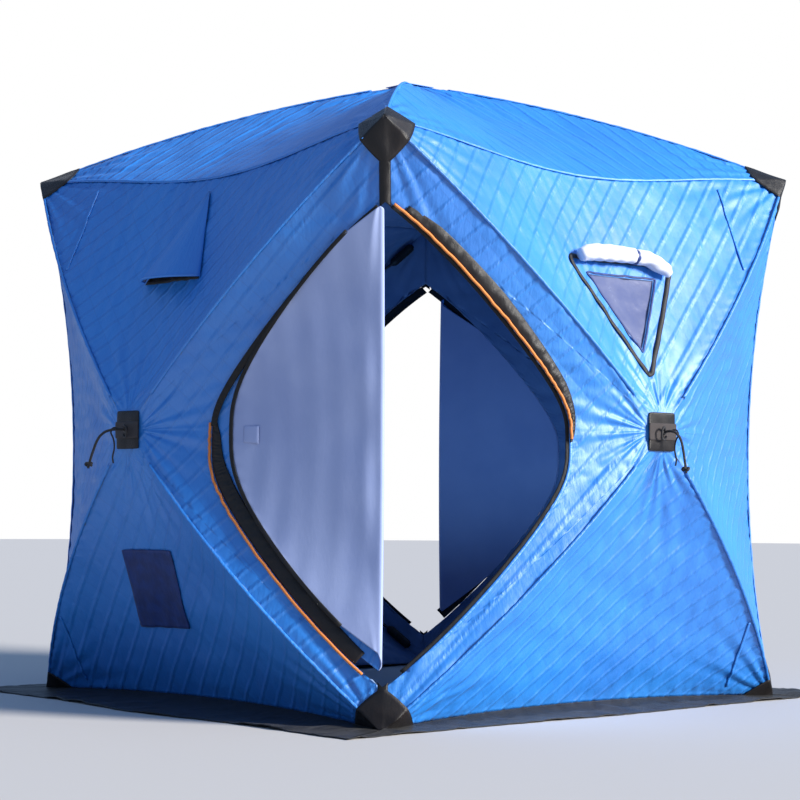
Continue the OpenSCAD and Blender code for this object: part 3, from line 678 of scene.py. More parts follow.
def cut_window(bm):
    """Opens the pane's hole in a top panel by cutting along its three sides."""
    tri = window_corners(-0.001)
    mid = tri.mean(axis=0)
    for i in range(3):
        a, b = tri[i], tri[(i + 1) % 3]
        out = np.array([b[1] - a[1], a[0] - b[0]])
        out = out * np.sign(out @ (a - mid))
        near = [f for f in bm.faces if (Vector((f.calc_center_median().x,
                f.calc_center_median().z)) - Vector(mid)).length < 0.26]
        geom = near + list({e for f in near for e in f.edges}) + list({v for f in near for v in f.verts})
        bmesh.ops.bisect_plane(bm, geom=geom, dist=1e-6, plane_co=(a[0], 0, a[1]), plane_no=(out[0], 0, out[1]))
    hole = []
    for f in bm.faces:
        c = f.calc_center_median()
        at = np.array([c.x, c.z])
        inside = True
        for i in range(3):
            a, b = tri[i], tri[(i + 1) % 3]
            out = np.array([b[1] - a[1], a[0] - b[0]])
            out = out * np.sign(out @ (a - mid))
            inside = inside and (at - a) @ out < 0
        if inside:
            hole.append(f)
    bmesh.ops.delete(bm, geom=hole, context="FACES")


COARSE = 1.0
NU, NV = int(150 * COARSE), int(84 * COARSE)
walls = ("front", "right", "back", "left")


def full_grid():
    g = make_grid(NU, NV)
    return g, E + (1 - 2 * E) * g[1], (1 - E) * g[2]


for q, side in enumerate(walls):
    g, s, r = full_grid()
    o = cloth_piece("top", q, side + "_top_cloth", [side + "_wall_top"], [mat_quilt, mat_shaded_lining], s, r, g,
            10 + q, cut=cut_window if q % 2 == 0 else None)
    g, s, r = full_grid()
    o = cloth_piece("bottom", q, side + "_bottom_cloth", [side + "_wall_bottom"], [mat_quilt, mat_shaded_lining], s,
            r, g, 20 + q)
    g, s, r = full_grid()
    o = cloth_piece("roof", q, "roof_" + side + "_cloth", ["roof_" + side], [mat_roof, mat_shaded_lining], s, r, g,
            30 + q)

for q, flip, name, node in ((0, True, "front_plain_side", "front_wall_right"),
        (1, False, "right_plain_side", "right_wall_front"),
                            (2, True, "back_plain_side", "back_wall_left"),
                                    (3, False, "left_plain_side", "left_wall_rear")):
    g, s, r = full_grid()
    o = cloth_piece("left", q, name, [node], [mat_quilt, mat_shaded_lining], s, r, g, 40 + q, flip)

for q, flip, name, node in ((0, False, "front_door_side", "front_wall_left"),
        (1, True, "right_door_side", "right_wall_rear"),
                            (2, False, "back_door_side", "back_wall_right"),
                                    (3, True, "left_door_side", "left_wall_front")):
    rows = int(190 * COARSE)
    g = make_grid(rows, int(64 * COARSE))
    k = np.rint(g[1] * rows).astype(int)
    a, b = rows // 14, rows - rows // 12
    table = np.concatenate([np.linspace(E, DOOR_LOW, a + 1),
            (DOOR_MID - DOOR_HALF * np.cos(np.linspace(0, np.pi, b - a + 1)))[1:],
                            np.linspace(DOOR_HIGH, 1 - E, rows - b + 1)[1:]])
    s = table[k]
    width = np.where((s <= DOOR_LOW) | (s >= DOOR_HIGH), 1 - E, np.minimum(1 - E, door_share(s)))
    r = g[2] * width

    def edge_creases(uv, s, r, width=width, q=q):
        away = (width - r) * 0.85
        inside = (s > DOOR_LOW) & (s < DOOR_HIGH)
        return np.where(inside, 0.0050 * seam_pucker(away, s * 1.9, 0.034, 0.026, 50 + q), 0)

    o = cloth_piece("left", q, name, [node], [mat_quilt, mat_shaded_lining], s, r, g, 60 + q, flip, extra=edge_creases)


# ---------------------------------------------------------------- door edges: bands, piping, zip tapes
def door_angles(a0, a1, n):
    return DOOR_MID - DOOR_HALF * np.cos(np.radians(np.linspace(a0, a1, n)))


def edge_ribbon(a0, a1, n, off, half, lift, q, flip, rise=None, m=6, taper=None):
    p, side, out, _ = edge_frame(door_angles(a0, a1, n))
    if taper is not None:
        # the ribbon narrows towards its ends, and keeps its inner edge in line
        keep = np.interp(np.linspace(a0, a1, n), *taper)
        off, half = np.sign(off) * (abs(off) - half * (1 - keep)), half * keep
    mid = p + side * np.broadcast_to(off, (n,))[:, None] + out * lift
    return strip_bm(turn(mid, q, flip), turn(side, q, flip), turn(out, q, flip), half, m, rise)


def crumple(seed, amp, crown):
    def rise(c, i):
        return crown * (1 - c ** 2) + amp * waves(i * 0.012, c * 0.03, seed, 0.035, 6) * (1 - 0.5 * c ** 2)
    return rise


def edge_tube(a0, a1, n, off, lift, radius, q, flip):
    p, side, out, _ = edge_frame(door_angles(a0, a1, n))
    wob = 0.0012 * waves(np.arange(n) * 0.012, np.zeros(n), 5 + q, 0.06)
    return tube_bm(turn(p + side * (off + wob)[:, None] + out * lift, q, flip), radius, 14)


bands, cords, tapes, hems = [], [], [], []
for q in (0, 2):
    b = (q + 3) % 4
    bands.append(edge_ribbon(86, 175.5, 190, -0.0245, 0.0235, 0.0052, q, False, crumple(71, 0.0011, 0.0034),
            12, ((86, 92, 118, 150, 168, 175.5), (0.16, 0.34, 0.78, 1.0, 0.9, 0.55))))
    bands.append(edge_ribbon(6, 100, 190, 0.026, 0.024, 0.0040, b, True, crumple(72, 0.0012, 0.0026), 12,
            ((6, 20, 60, 90, 100), (0.9, 1.0, 1.0, 0.60, 0.3))))
    cords.append(edge_tube(88, 178, 210, -0.0035, 0.0110, 0.0044, q, False))
    cords.append(edge_tube(4, 98, 210, -0.0054, 0.0062, 0.0044, b, True))
    tapes.append(edge_ribbon(4, 178, 220, 0.0055, 0.0060, -0.0015, q, False, crumple(73, 0.0006, 0.0004), 4))
    tapes.append(edge_ribbon(96, 178, 150, 0.0095, 0.0105, 0.0088, b, True, crumple(74, 0.0010, 0.0012), 8))
    if q == 2:
        # the far door's zip flap hangs a little way into its opening
        tapes.append(edge_ribbon(100, 178.5, 120, 0.0170, 0.0160, -0.0040, q, False,
                crumple(76, 0.0014, 0.0010), 8))
    hems.append(edge_ribbon(5, 89, 120, -0.0050, 0.0052, 0.0012, q, False, crumple(75, 0.0005, 0.0018), 5))
for bm_list, name, mat, thick, node, slot in ((bands, "door_storm_bands", mat_cap, 0.0022, ["storm_bands"],
        "black_fabric"),
                                              (tapes, "door_zip_tapes", mat_zip, 0.0016, [], "black_fabric"),
                                              (hems, "door_edge_hems", mat_smooth, 0.0014, [], "wall_fabric")):
    o = finish_piece(join_bm(bm_list), name, [mat], node, thick, 0 if name == "door_zip_tapes" else -1)
o = finish_piece(join_bm(cords), "orange_door_piping", [mat_orange], ["door_piping"])

# ---------------------------------------------------------------- folded doors
FOLD_LOW, FOLD_HIGH, FOLD_SIDE = DOOR_LOW + 0.052, DOOR_HIGH - 0.006, DOOR_SIDE + 0.09


def fold_row(s):
    s0, s1 = door_angles(20, 160, 2)
    return FOLD_LOW + (FOLD_HIGH - FOLD_LOW) * (s - s0) / (s1 - s0)


def fold_share(s):
    mid, half = (FOLD_LOW + FOLD_HIGH) / 2, (FOLD_HIGH - FOLD_LOW) / 2 * 1.02
    u = np.clip(np.abs(s - mid) / half, 0, 1)
    return 1 - (1 - FOLD_SIDE) * np.sqrt(np.clip(1 - u ** np.where(s > mid, 2.5, 3.0), 0, 1))


def door_points(s, v, bend=0.985):
    """A point of the folded door: v runs from the zip, over the fold at the corner edge, to the free edge."""
    s2 = fold_row(s)
    a, b = door_share(s) + 0.0007, fold_share(s2)
    under, over = np.clip(v / 0.40, 0, 1), np.clip((v - 0.52) / 0.48, 0, 1)
    turn_at = np.clip((v - 0.40) / 0.12, 0, 1)
    phi = (turn_at - 0.5) * np.pi
    bend = np.maximum(bend, np.maximum(a, b) + 0.01)
    r = np.where(v < 0.40, a + (bend - a) * under,
            np.where(v > 0.52, bend + (b - bend) * over, bend + 0.010 * np.cos(phi)))
    d = 0.0040 + 0.0065 * np.sin(phi)
    row = s + (s2 - s) * turn_at
    return row, r, d, over


def door_bm(n, m, q, bend):
    bm, u, v = make_grid(n, m)
    s = door_angles(20, 160, n + 1)[np.rint(u * n).astype(int)]
    row, r, d, over = door_points(s, v, bend)
    p = wall_left(row, r)
    uv = col(v * 1.2, p[:, 2])
    out = normal_of(wall_left, row, np.clip(r, 0, 0.998))
    free = smooth(0.0, 0.10, over)
    soft = 0.0045 * waves(p[:, 0], p[:, 2], 91, 0.26, 6) + 0.0010 * waves(p[:, 0] * 1.2, p[:, 2] * 0.5, 92,
            0.045, 7)
    rim = 0.0016 * np.abs(np.sin(np.pi * p[:, 2] / 0.042)) * np.exp(-((1 - over) / 0.05) ** 2)
    lift = free * (soft + 0.003 + rim) * (over > 0)
    p = p + out * (d + lift)[:, None]
    place(bm, turn(p, q, True), uv)
    return bm


for q, name, node in ((3, "near_door", "front_door_flap"), (1, "far_door", "rear_door_flap")):
    bm = door_bm(int(120 * COARSE) + 20, int(110 * COARSE), q, 0.985 if q == 3 else 0.915)
    bm.normal_update()
    # the half that lies on the wall must face out with its shell side
    sample = [f for i, f in enumerate(bm.faces) if i % 7 == 0]
    first = [f for f in sample if f.loops[0][bm.loops.layers.uv.active].uv.x < 0.40]
    if sum(f.normal.dot(f.calc_center_median() - Vector(CENTRE)) for f in first) < 0:
        bmesh.ops.reverse_faces(bm, faces=bm.faces)
    o = finish_piece(bm, name, [mat_quilt, mat_shaded_door_lining], [node], 0.0045, 0)
    # zip tape round the free edge, and a small sewn tab near its side point
    s2 = fold_row(door_angles(20, 160, 150))
    b = fold_share(s2)
    e = 0.004
    p = wall_left(s2, b)
    out = normal_of(wall_left, s2, b)
    along = unit(np.gradient(p, axis=0))
    side = unit(np.cross(out, along))
    side = side * np.sign((side * (wall_left(s2, b + e) - p)).sum(-1, keepdims=True))
    p = p + out * 0.0178 - side * 0.001
    tape = strip_bm(turn(p, q, True), turn(side, q, True), turn(out, q, True), 0.006, 5,
            crumple(77, 0.0010, 0.0008))
    o = finish_piece(tape, name + "_free_zip", [mat_zip], (), 0.002, 0)
    bm, u, v = make_grid(10, 16)
    s = 0.475 + (v - 0.5) * 0.055
    r = DOOR_SIDE + 0.14 + u * 0.06
    p = wall_left(s, r)
    p = p + normal_of(wall_left, s, r) * (0.0172 + 0.0012 * (1 - (2 * u - 1) ** 6) * (1 - (2 * v - 1) ** 6))[:, None]
    place(bm, turn(p, q, True), col(u * 0.05, v * 0.1))
    face_out(bm)
    o = finish_piece(bm, name + "_tab", [mat_shaded_door_lining], (), 0.0012, -1)


# ---------------------------------------------------------------- seams along the poles and corners
def swap(p):
    return p[..., [1, 0, 2]]


def tape_between(one, two, t, n, half, lift, crown, seed, q, flip):
    """A narrow tape laid over the seam between two surfaces; one and two give a point from (t, distance off the seam)."""
    bm, u, v = make_grid(n, 6)
    c = v * 2 - 1
    at = t[0] + (t[1] - t[0]) * u
    far = np.abs(c) * half
    p = np.where((c >= 0)[:, None], one(at, far), two(at, far))
    away = unit(p - CENTRE)
    beat = np.abs(np.sin(np.pi * at * 1.25 / 0.046))
    h = lift + crown * np.sqrt(np.clip(1 - c ** 2, 0, 1)) * (0.65 + 0.35 * beat) + 0.0006 * waves(at,
            c * 0.02, seed, 0.03)
    p = p + away * h[:, None]
    place(bm, turn(p, q, flip), col(at * 1.25, c * half))
    face_out(bm)
    return bm


def wide(r):
    return 2 * (HUB_FLAT + (TOP - HUB_FLAT) * r)


seams, plain = [], []
for q in range(4):
    for flip in (False, True):
        seams.append(tape_between(lambda r, d: wall_top(d / wide(r), r), lambda r,
                d: wall_left(1 - d / wide(r), r), (0.075, 0.93), 90, 0.0080, 0.0026, 0.0022, 81, q, flip))
        seams.append(tape_between(lambda r, d: wall_bottom(d / wide(r), r), lambda r,
                d: wall_left(d / wide(r), r), (0.075, 0.93), 90, 0.0080, 0.0026, 0.0022, 82, q, flip))
    seams.append(tape_between(lambda r, d: roof(d / wide(r), r), lambda r, d: swap(roof(d / wide(r), r)),
            (0.06, 0.93), 90, 0.0085, 0.0014, 0.0022, 83, q, False))
    seams.append(tape_between(lambda s, d: wall_top(s, 1 - d / 0.9), lambda s, d: roof(s, 1 - d / 0.9),
            (0.05, 0.95), 130, 0.0065, 0.0010, 0.0026, 84, q, False))
    if q in (1, 3):
        seams.append(tape_between(lambda s, d: wall_left(s, 1 - d / 0.9), lambda s,
                d: swap(wall_left(s, 1 - d / 0.9)), (0.06, 0.94), 130, 0.0075, 0.0012, 0.0024, 85, q, False))
o = finish_piece(join_bm(seams), "sewn_seams", [mat_smooth], (), 0.0012, 0)
stem = [tape_between(lambda s, d: wall_left(s, 1 - d / 0.9), lambda s, d: swap(wall_left(s, 1 - d / 0.9)),
        (0.862, 0.95), 30, 0.017, 0.0030, 0.0034, 86, q, False) for q in (0, 2)]
stem += [tape_between(lambda s, d: wall_left(s, 1 - d / 0.9), lambda s, d: swap(wall_left(s, 1 - d / 0.9)),
        (0.045, 0.072), 16, 0.015, 0.0030, 0.0030, 87, q, False) for q in (0, 2)]
o = finish_piece(join_bm(stem), "door_corner_stays", [mat_cap], (), 0.002, 0)


# ---------------------------------------------------------------- places on a wall's top and bottom panels
def find_place(surf, x, z, s, r, dz):
    for _ in range(8):
        p = surf(s, r)
        half = HUB_FLAT + ((TOP if dz > 0 else BASE) - HUB_FLAT) * r
        s = s + (x - p[..., 0]) / (2 * half)
        r = r + (z - p[..., 2]) / dz
    return s, r


def on_top(x, z, q=None):
    x, z = np.broadcast_arrays(np.asarray(x, float), np.asarray(z, float))
    dz = HIGH - TOP_SAG - HUB_Z - HUB_FLAT
    r = (z - HUB_Z - HUB_FLAT) / dz
    s, r = find_place(wall_top, x, z, 0.5 + x / (2 * (HUB_FLAT + (TOP - HUB_FLAT) * r)), r, dz)
    p, out = wall_top(s, r), normal_of(wall_top, s, r)
    return (p if q is None else p + out * (np.maximum(relief("top", s.ravel(), r.ravel(), 10 + q),
            -0.002) - 0.001).reshape(s.shape + (1,))), out


def on_bottom(x, down, q=None):
    x, down = np.broadcast_arrays(np.asarray(x, float), np.asarray(down, float))
    r = (down - HUB_FLAT) / (HUB_Z - HUB_FLAT)
    s = 0.5 + x / (2 * (HUB_FLAT + (BASE - HUB_FLAT) * r))
    p, out = wall_bottom(s, r), normal_of(wall_bottom, s, r)
    return (p if q is None else p + out * (np.maximum(relief("bottom", s.ravel(), r.ravel(), 20 + q),
            -0.002) - 0.001).reshape(s.shape + (1,))), out


# seams of the plain corner pieces
for q in range(4):
    hand = 1 if q in (0, 2) else -1
    for k in range(2):
        if k == 0:
            p, out = on_top(hand * np.linspace(0.588, 0.533, 50), np.linspace(1.700, 1.417, 50), q)
        else:
            p, out = on_bottom(hand * np.linspace(0.590, 0.652, 50), np.linspace(0.601, 0.835, 50), q)
        side = unit(np.cross(out, unit(np.gradient(p, axis=0))))
        plain.append(strip_bm(turn(p + out * 0.0018, q), turn(side, q), turn(out, q), 0.0050, 4, lambda c,
                i: 0.0014 * (1 - c ** 2)))
o = finish_piece(join_bm(plain), "corner_piece_seams", [mat_smooth], (), 0.0010, 0)

# ---------------------------------------------------------------- corner caps
POLE_RUN = float(np.linalg.norm(TL - hub_corner(-1, 1)))
CAP = 0.140
cap_pole, cap_seam = 1 - CAP * 0.72 / POLE_RUN, CAP / (2 * TOP)
ROOF_RUN = float(np.linalg.norm(TL - np.array([-HUB_FLAT, -HUB_FLAT, PEAK])))


def one(surf, s, r):
    return surf(np.array([s], float), np.array([r], float))[0]


def cap_bm(apex, ring, closed, seed, q, low=False):
    parts = []
    n = len(ring)
    for i in range(n if closed else n - 1):
        a, b = ring[i], ring[(i + 1) % n]
        bm, u, v = make_grid(10, 12)
        t, w = 0.03 + 0.97 * u, v
        edge = mix(a, b, w)
        bow = 1 + 0.03 * hump(w)
        p = apex + (edge - apex) * (t * bow)[:, None]
        away = unit(p - CENTRE)
        h = 0.0056 + 0.0040 * (1 - t ** 6) + 0.0030 * waves(p[:, 0] - p[:, 1], p[:, 2], seed, 0.045,
                7) * (1 - t ** 8) - 0.0020 * np.exp(-(np.minimum(w, 1 - w) / 0.07) ** 2) * t * (1 - t)
        p = p + away * h[:, None]
        if low:
            p[:, 2] = np.maximum(p[:, 2], 0.004)
        place(bm, turn(p, q), col(p[:, 0], p[:, 2]))
        parts.append(bm)
    bm = join_bm(parts)
    bmesh.ops.remove_doubles(bm, verts=bm.verts, dist=2e-4)
    bmesh.ops.holes_fill(bm, edges=[e for e in bm.edges if e.is_boundary], sides=8)
    bmesh.ops.smooth_vert(bm, verts=[v for v in bm.verts if not v.is_boundary], factor=0.5, use_axis_x=True,
            use_axis_y=True, use_axis_z=True)
    face_out(bm)
    return bm


top_ring = [one(roof, 0, 1 - CAP / ROOF_RUN), eave(np.array([cap_seam]))[0], one(wall_top, 0, cap_pole),
            corner_edge(np.array([1 - CAP / HIGH]))[0], swap(one(wall_top, 0, cap_pole)),
                    swap(eave(np.array([cap_seam]))[0])]
low_ring = [hem(np.array([CAP / (2 * BASE)]))[0], one(wall_bottom, 0, cap_pole),
        corner_edge(np.array([CAP * 0.9 / HIGH]))[0],
            swap(one(wall_bottom, 0, cap_pole)), swap(hem(np.array([CAP / (2 * BASE)]))[0])]
o = finish_piece(join_bm([cap_bm(TL, top_ring, True, 101 + q, q) for q in range(4)]), "upper_corner_caps",
        [mat_cap], ["top_corner_caps"], 0.0024, -1)
o = finish_piece(join_bm([cap_bm(BL, low_ring, False, 111 + q, q, True) for q in range(4)]),
        "lower_corner_caps", [mat_cap], ["bottom_corner_caps"], 0.0024, -1)


# ---------------------------------------------------------------- hub patches with their webbing
def flat_patch(w, h, lift, crown, seed, nx=24, nz=24, amp=0.0008, x0=0.0, z0=0.0, soft=10):
    bm, u, v = make_grid(nx, nz)
    a, b = u * 2 - 1, v * 2 - 1
    # corners are slightly rounded
    k = 1 - 0.035 * (np.abs(a) ** soft * np.abs(b) ** soft)
    x, z = x0 + a * w / 2 * k, z0 + b * h / 2 * k
    y = -HUB_OUT - lift - crown * (1 - a ** 6) * (1 - b ** 6) - amp * waves(x, z, seed, 0.03)
    return bm, x, y, z


patches, webs, studs = [], [], []
for q in range(4):
    bm, x, y, z = flat_patch(0.118, 0.118, 0.0020, 0.0030, 121 + q)
    place(bm, turn(col(x, y, z + HUB_Z), q), col(x, z))
    face_out(bm)
    patches.append(bm)
    bm, x, y, z = flat_patch(0.122, 0.052, 0.0062, 0.0016, 131 + q, 30, 14, 0.0005)
    place(bm, turn(col(x, y, z + HUB_Z), q), col(x, z))
    face_out(bm)
    webs.append(bm)
    bm = bmesh.new()
    bmesh.ops.create_cone(bm, cap_ends=True, segments=28, radius1=0.011, radius2=0.009, depth=0.007)
    rim = [e for e in bm.edges if len(e.link_faces) == 2 and max(len(f.verts) for f in e.link_faces) > 4]
    bmesh.ops.bevel(bm, geom=rim, offset=0.0015, offset_type="OFFSET", affect="EDGES", segments=3,
            profile=0.5, material=-1)
    bmesh.ops.rotate(bm, cent=(0, 0, 0), matrix=Matrix.Rotation(math.pi / 2, 3, "X"), verts=bm.verts)
    bmesh.ops.translate(bm, vec=(0, -HUB_OUT - 0.0100, HUB_Z), verts=bm.verts)
    bmesh.ops.rotate(bm, cent=(0, 0, 0), matrix=Matrix.Rotation(q * math.pi / 2, 3, "Z"), verts=bm.verts)
    studs.append(bm)
bm, u, v = make_grid(24, 24)
a, b = u * 2 - 1, v * 2 - 1
x, y = a * 0.059, b * 0.059
place(bm, col(x, y, PEAK + 0.0012 + 0.0026 * (1 - a ** 6) * (1 - b ** 6)), col(x, y))
crown = bm
crown.normal_update()
if sum(f.normal.z for f in crown.faces) < 0:
    bmesh.ops.reverse_faces(crown, faces=crown.faces)
o = finish_piece(join_bm(patches), "wall_hub_patches", [mat_cap], ["hub_patches"], 0.002, -1)
o = finish_piece(join_bm(webs), "hub_webbing_bands", [mat_band], (), 0.0018, -1)
o = finish_piece(join_bm(studs), "hub_studs", [mat_pole], ())
o = finish_piece(crown, "roof_crown_patch", [mat_smooth], (), 0.002, -1)


# ---------------------------------------------------------------- windows
def window_outline(g, r, arc=9, run=22):
    tri, pts = window_corners(g), []
    for i in range(3):
        p, nxt, prv = tri[i], tri[(i + 1) % 3], tri[(i + 2) % 3]
        a0 = math.atan2(p[0] - prv[0], prv[1] - p[1])
        a1 = math.atan2(nxt[0] - p[0], p[1] - nxt[1])
        a1 = a0 + (a1 - a0 + math.pi) % (2 * math.pi) - math.pi
        for k in range(arc + 1):
            a = a0 + (a1 - a0) * k / arc
            pts.append(p + r * np.array([math.cos(a), math.sin(a)]))
        for k in range(1, run):
            pts.append(p + (nxt - p) * k / run + r * np.array([math.cos(a1), math.sin(a1)]))
    return np.array(pts)


def outline_strip(g, r, half, lift, q, rise, m=6):
    ring = window_outline(g, r)
    p, out = on_top(ring[:, 0], ring[:, 1], q)
    along = unit(np.roll(p, -1, axis=0) - np.roll(p, 1, axis=0))
    side = unit(np.cross(out, along))
    return strip_bm(turn(p + out * lift, q), turn(side, q), turn(out, q), half, m, rise, closed=True)


BORDER, BIND = 0.034, 0.017
binding, navy, films, rolls, ties = [], [], [], [], []
for q in (0, 2):
    binding.append(outline_strip(BORDER, 0.008 + BIND / 2, BIND / 2, 0.0030, q, lambda c,
            i: 0.0024 * (1 - c ** 2) + 0.0006 * np.sin(i * 0.9), 8))
    navy.append(outline_strip(0.001, 0.0035, 0.0032, 0.0020, q, lambda c, i: 0.0008 * (1 - c ** 2), 4))
    bm, u, v = make_grid(30, 26)
    tri = window_corners(0.012)
    x = (tri[0][0] + (tri[1][0] - tri[0][0]) * u) * (1 - v) + tri[2][0] * v
    z = tri[0][1] * (1 - v) + tri[2][1] * v
    p, out = on_top(x, z)
    p = p + out * (-0.0075 + 0.0022 * waves(x, z, 141, 0.07))[:, None]
    place(bm, turn(p, q), col(x, z))
    bmesh.ops.remove_doubles(bm, verts=bm.verts, dist=1e-6)
    face_out(bm)
    films.append(bm)
    # the rolled-up cover: a soft roll that droops at one end, with a flat tail at the other
    x = np.linspace(-0.200, 0.205, 60)
    z = np.interp(x, [-0.200, -0.165, -0.06, 0.03, 0.12, 0.170, 0.205],
            [1.399, 1.408, 1.416, 1.418, 1.411, 1.392, 1.372])
    p, out = on_top(x, z)
    rad = np.interp(x, [-0.200, -0.190, -0.155, -0.02, 0.055, 0.066, 0.080, 0.14, 0.190, 0.205],
            [0.017, 0.023, 0.026, 0.0265, 0.0245, 0.021, 0.0245, 0.025, 0.021, 0.013])
    rad = rad + 0.0009 * waves(x, x * 0, 142, 0.05)
    path = turn(p + out * (0.0062 + rad)[:, None], q)
    bm = tube_bm(path, rad, 30)
    for vert in bm.verts:
        k = int(np.argmin(np.linalg.norm(path - np.array(vert.co), axis=1)))
        vert.co += (vert.co - Vector(path[k])) * (0.05 * math.sin(vert.co.z * 300) + 0.04 * math.sin(k * 0.7 + vert.co.z * 160))
    rolls.append(bm)
    at = int(np.argmin(np.abs(x - 0.067)))
    k = np.linspace(0, 2 * np.pi, 48)
    t = unit(path[at + 1] - path[at - 1])
    upish = unit(np.cross(t, turn(out, q)[at]))
    ring = path[at] + (np.cos(k)[:, None] * upish + np.sin(k)[:, None] * np.cross(t, upish)) * 0.0235
    spoke = unit(ring - path[at])
    ties.append(strip_bm(ring, np.broadcast_to(t, ring.shape), spoke, 0.0085, 4, lambda c,
            i: 0.0010 * (1 - c ** 2)))
for bm_list, name, mats, thick, nodes, slot in ((binding, "window_edge_bindings", [mat_black], 0.002,
        ["window_bindings"], "black_fabric"),
                                               (navy, "window_inner_edges", [mat_navy_trim_and_shadow], 0.0010, [],
                                                       "navy_patch"),
                                               (films, "window_films", [mat_film], 0.0010, ["window_panes"],
                                                       "clear_film"),
                                               (rolls, "rolled_window_covers", [mat_white], 0,
                                                       ["window_rolls"], "white_lining"),
                                               (ties, "window_cover_ties", [mat_navy_trim_and_shadow], 0.0016, [],
                                                       "navy_patch")):
    o = finish_piece(join_bm(bm_list), name, mats, nodes, thick, 0 if thick < 0.002 else -1)

# ---------------------------------------------------------------- vent hoods
HOOD_W, HOOD_H, HOOD_TOP, HOOD_OUT = 0.300, 0.300, 0.780, 0.085


def hood_points(a, c, lift, bulge=1.0):
    p, out = on_top((c - 0.5) * HOOD_W * a, HUB_Z + HOOD_TOP - HOOD_H * a)
    return p + out * lift[:, None] + col(0, -HOOD_OUT * bulge * a ** 1.3 * hump(c) ** 0.8, 0 * a), out


hoods, mouths, rims, blocks = [], [], [], []
for q in (1, 3):
    bm, u, v = make_grid(44, 48)
    a, c = 0.03 + 0.97 * v, u
    p, out = hood_points(a, c, 0.0035 + 0.0024 * waves(c * 0.3, a * 0.3, 151, 0.06, 6) * a, 0.97)
    place(bm, turn(p, q), col(c * 0.3, a * 0.3))
    bmesh.ops.remove_doubles(bm, verts=bm.verts, dist=1e-5)
    face_out(bm)
    hoods.append(bm)
    # rolled hem round the mouth
    c = np.linspace(0, 1, 60)
    p, out = hood_points(np.full(60, 1.0), c, np.full(60, 0.003), 0.97)
    rims.append(tube_bm(turn(p, q), 0.0042, 10))
    # dark mesh that covers the vent hole, and the stay that props the hood open
    bm, u, v = make_grid(24, 20)
    a = 0.35 + 0.68 * v
    p, out = on_top((u - 0.5) * HOOD_W * 0.94 * a, HUB_Z + HOOD_TOP - HOOD_H * a, q)
    place(bm, turn(p + out * (0.0024 + 0.0015 * hump(u) * hump(v))[:, None], q), col(u * 0.28, v * 0.2))
    face_out(bm)
    mouths.append(bm)
    bm = bmesh.new()
    bmesh.ops.create_cube(bm, size=1)
    bmesh.ops.scale(bm, vec=(0.052, 0.066, 0.020), verts=bm.verts)
    bmesh.ops.bevel(bm, geom=list(bm.edges), offset=0.004, offset_type="OFFSET", affect="EDGES", segments=3,
            profile=0.5, material=-1)
    base, out = on_top(np.array([0.0]), np.array([HUB_Z + HOOD_TOP - HOOD_H * 0.93]))
    bmesh.ops.translate(bm, vec=tuple(base[0] + out[0] * 0.004 + np.array([0, -0.036, -0.004])), verts=bm.verts)
    bmesh.ops.rotate(bm, cent=(0, 0, 0), matrix=Matrix.Rotation(q * math.pi / 2, 3, "Z"), verts=bm.verts)
    blocks.append(bm)
o = finish_piece(join_bm(hoods), "side_vent_hoods", [mat_smooth, mat_shaded_lining], ["vent_hoods"], 0.0022, -1)
o = finish_piece(join_bm(rims), "vent_hood_hems", [mat_smooth], ())
o = finish_piece(join_bm(mouths), "vent_mesh", [mat_black], (), 0.001, -1)
o = finish_piece(join_bm(blocks), "vent_stays", [mat_black], ())

# ---------------------------------------------------------------- dark patches low on the side walls: painted shadow of a pocket inside the tent, seen through the cloth
pocket_shadow_bms = []
for q in (1, 3):
    bm, u, v = make_grid(26, 26)
    x = -0.182 - 0.055 * v + 0.245 * u
    p, out = on_bottom(x, 0.378 + 0.258 * v, q)
    rim = np.exp(-(np.minimum(np.minimum(u, 1 - u), np.minimum(v, 1 - v)) / 0.04) ** 2)
    h = 0.0036 + 0.0010 * rim + 0.0006 * waves(x, v * 0.26, 161, 0.06)
    place(bm, turn(p + out * h[:, None], q), col(x, v * 0.26))
    face_out(bm)
    pocket_shadow_bms.append(bm)
o = finish_piece(join_bm(pocket_shadow_bms), "pocket_shadow_patches", [mat_navy_trim_and_shadow], ["side_patches"], 0.0014, -1)

# ---------------------------------------------------------------- ground skirts
CAP_SHARE = CAP / (2 * BASE)


def skirt_bm(reach, side_reach, q, seed):
    bm, u, v = make_grid(int(200 * COARSE), 22)
    s, t = 0.0005 + 0.999 * u, v
    lean = (HUB_OUT + hem(s)[:, 1] + 4 * slack(s) * LOW_BOW) / (HUB_Z - HUB_FLAT)
    near = smooth(CAP_SHARE * 1.28, CAP_SHARE * 1.1, np.minimum(s, 1 - s))
    off = 0.0003 + lean * 0.0057 + near * 0.0048
    inner = hem(s) - col(0 * s, off, 0 * s)
    outer = col(-(BASE + side_reach) + 2 * (BASE + side_reach) * s,
            -(BASE + reach) + reach * 0.12 * np.sin(np.pi * s) ** 2 * np.sin(3 * np.pi * s), 0 * s)
    p = inner * (1 - t)[:, None] + outer * t[:, None]
    p[:, 2] = np.maximum(0, inner[:, 2] * (1 - np.clip(t / 0.3, 0, 1)) ** 2)
    body = smooth(0.0, 0.25, t) * smooth(0, 0.03, np.minimum(s, 1 - s))
    folds = np.clip(waves(p[:, 0] * 1.0, p[:, 1] * 0.45, seed, 0.09, 8), 0, 2)
    fine = np.clip(waves(p[:, 0] * 1.2, p[:, 1] * 0.3, seed + 1, 0.03, 8), 0, 2)
    p[:, 2] += 0.0036 + body * (0.0075 * folds + 0.0025 * fine)
    rag = 0.006 * waves(p[:, 0], p[:, 0] * 0, seed + 2, 0.08) * smooth(0.6, 1, t)
    p[:, 1] += np.abs(rag)
    place(bm, turn(p, q), col(p[:, 0], p[:, 1]))
    bm.normal_update()
    if sum(f.normal.z for f in bm.faces) < 0:
        bmesh.ops.reverse_faces(bm, faces=bm.faces)
    return bm


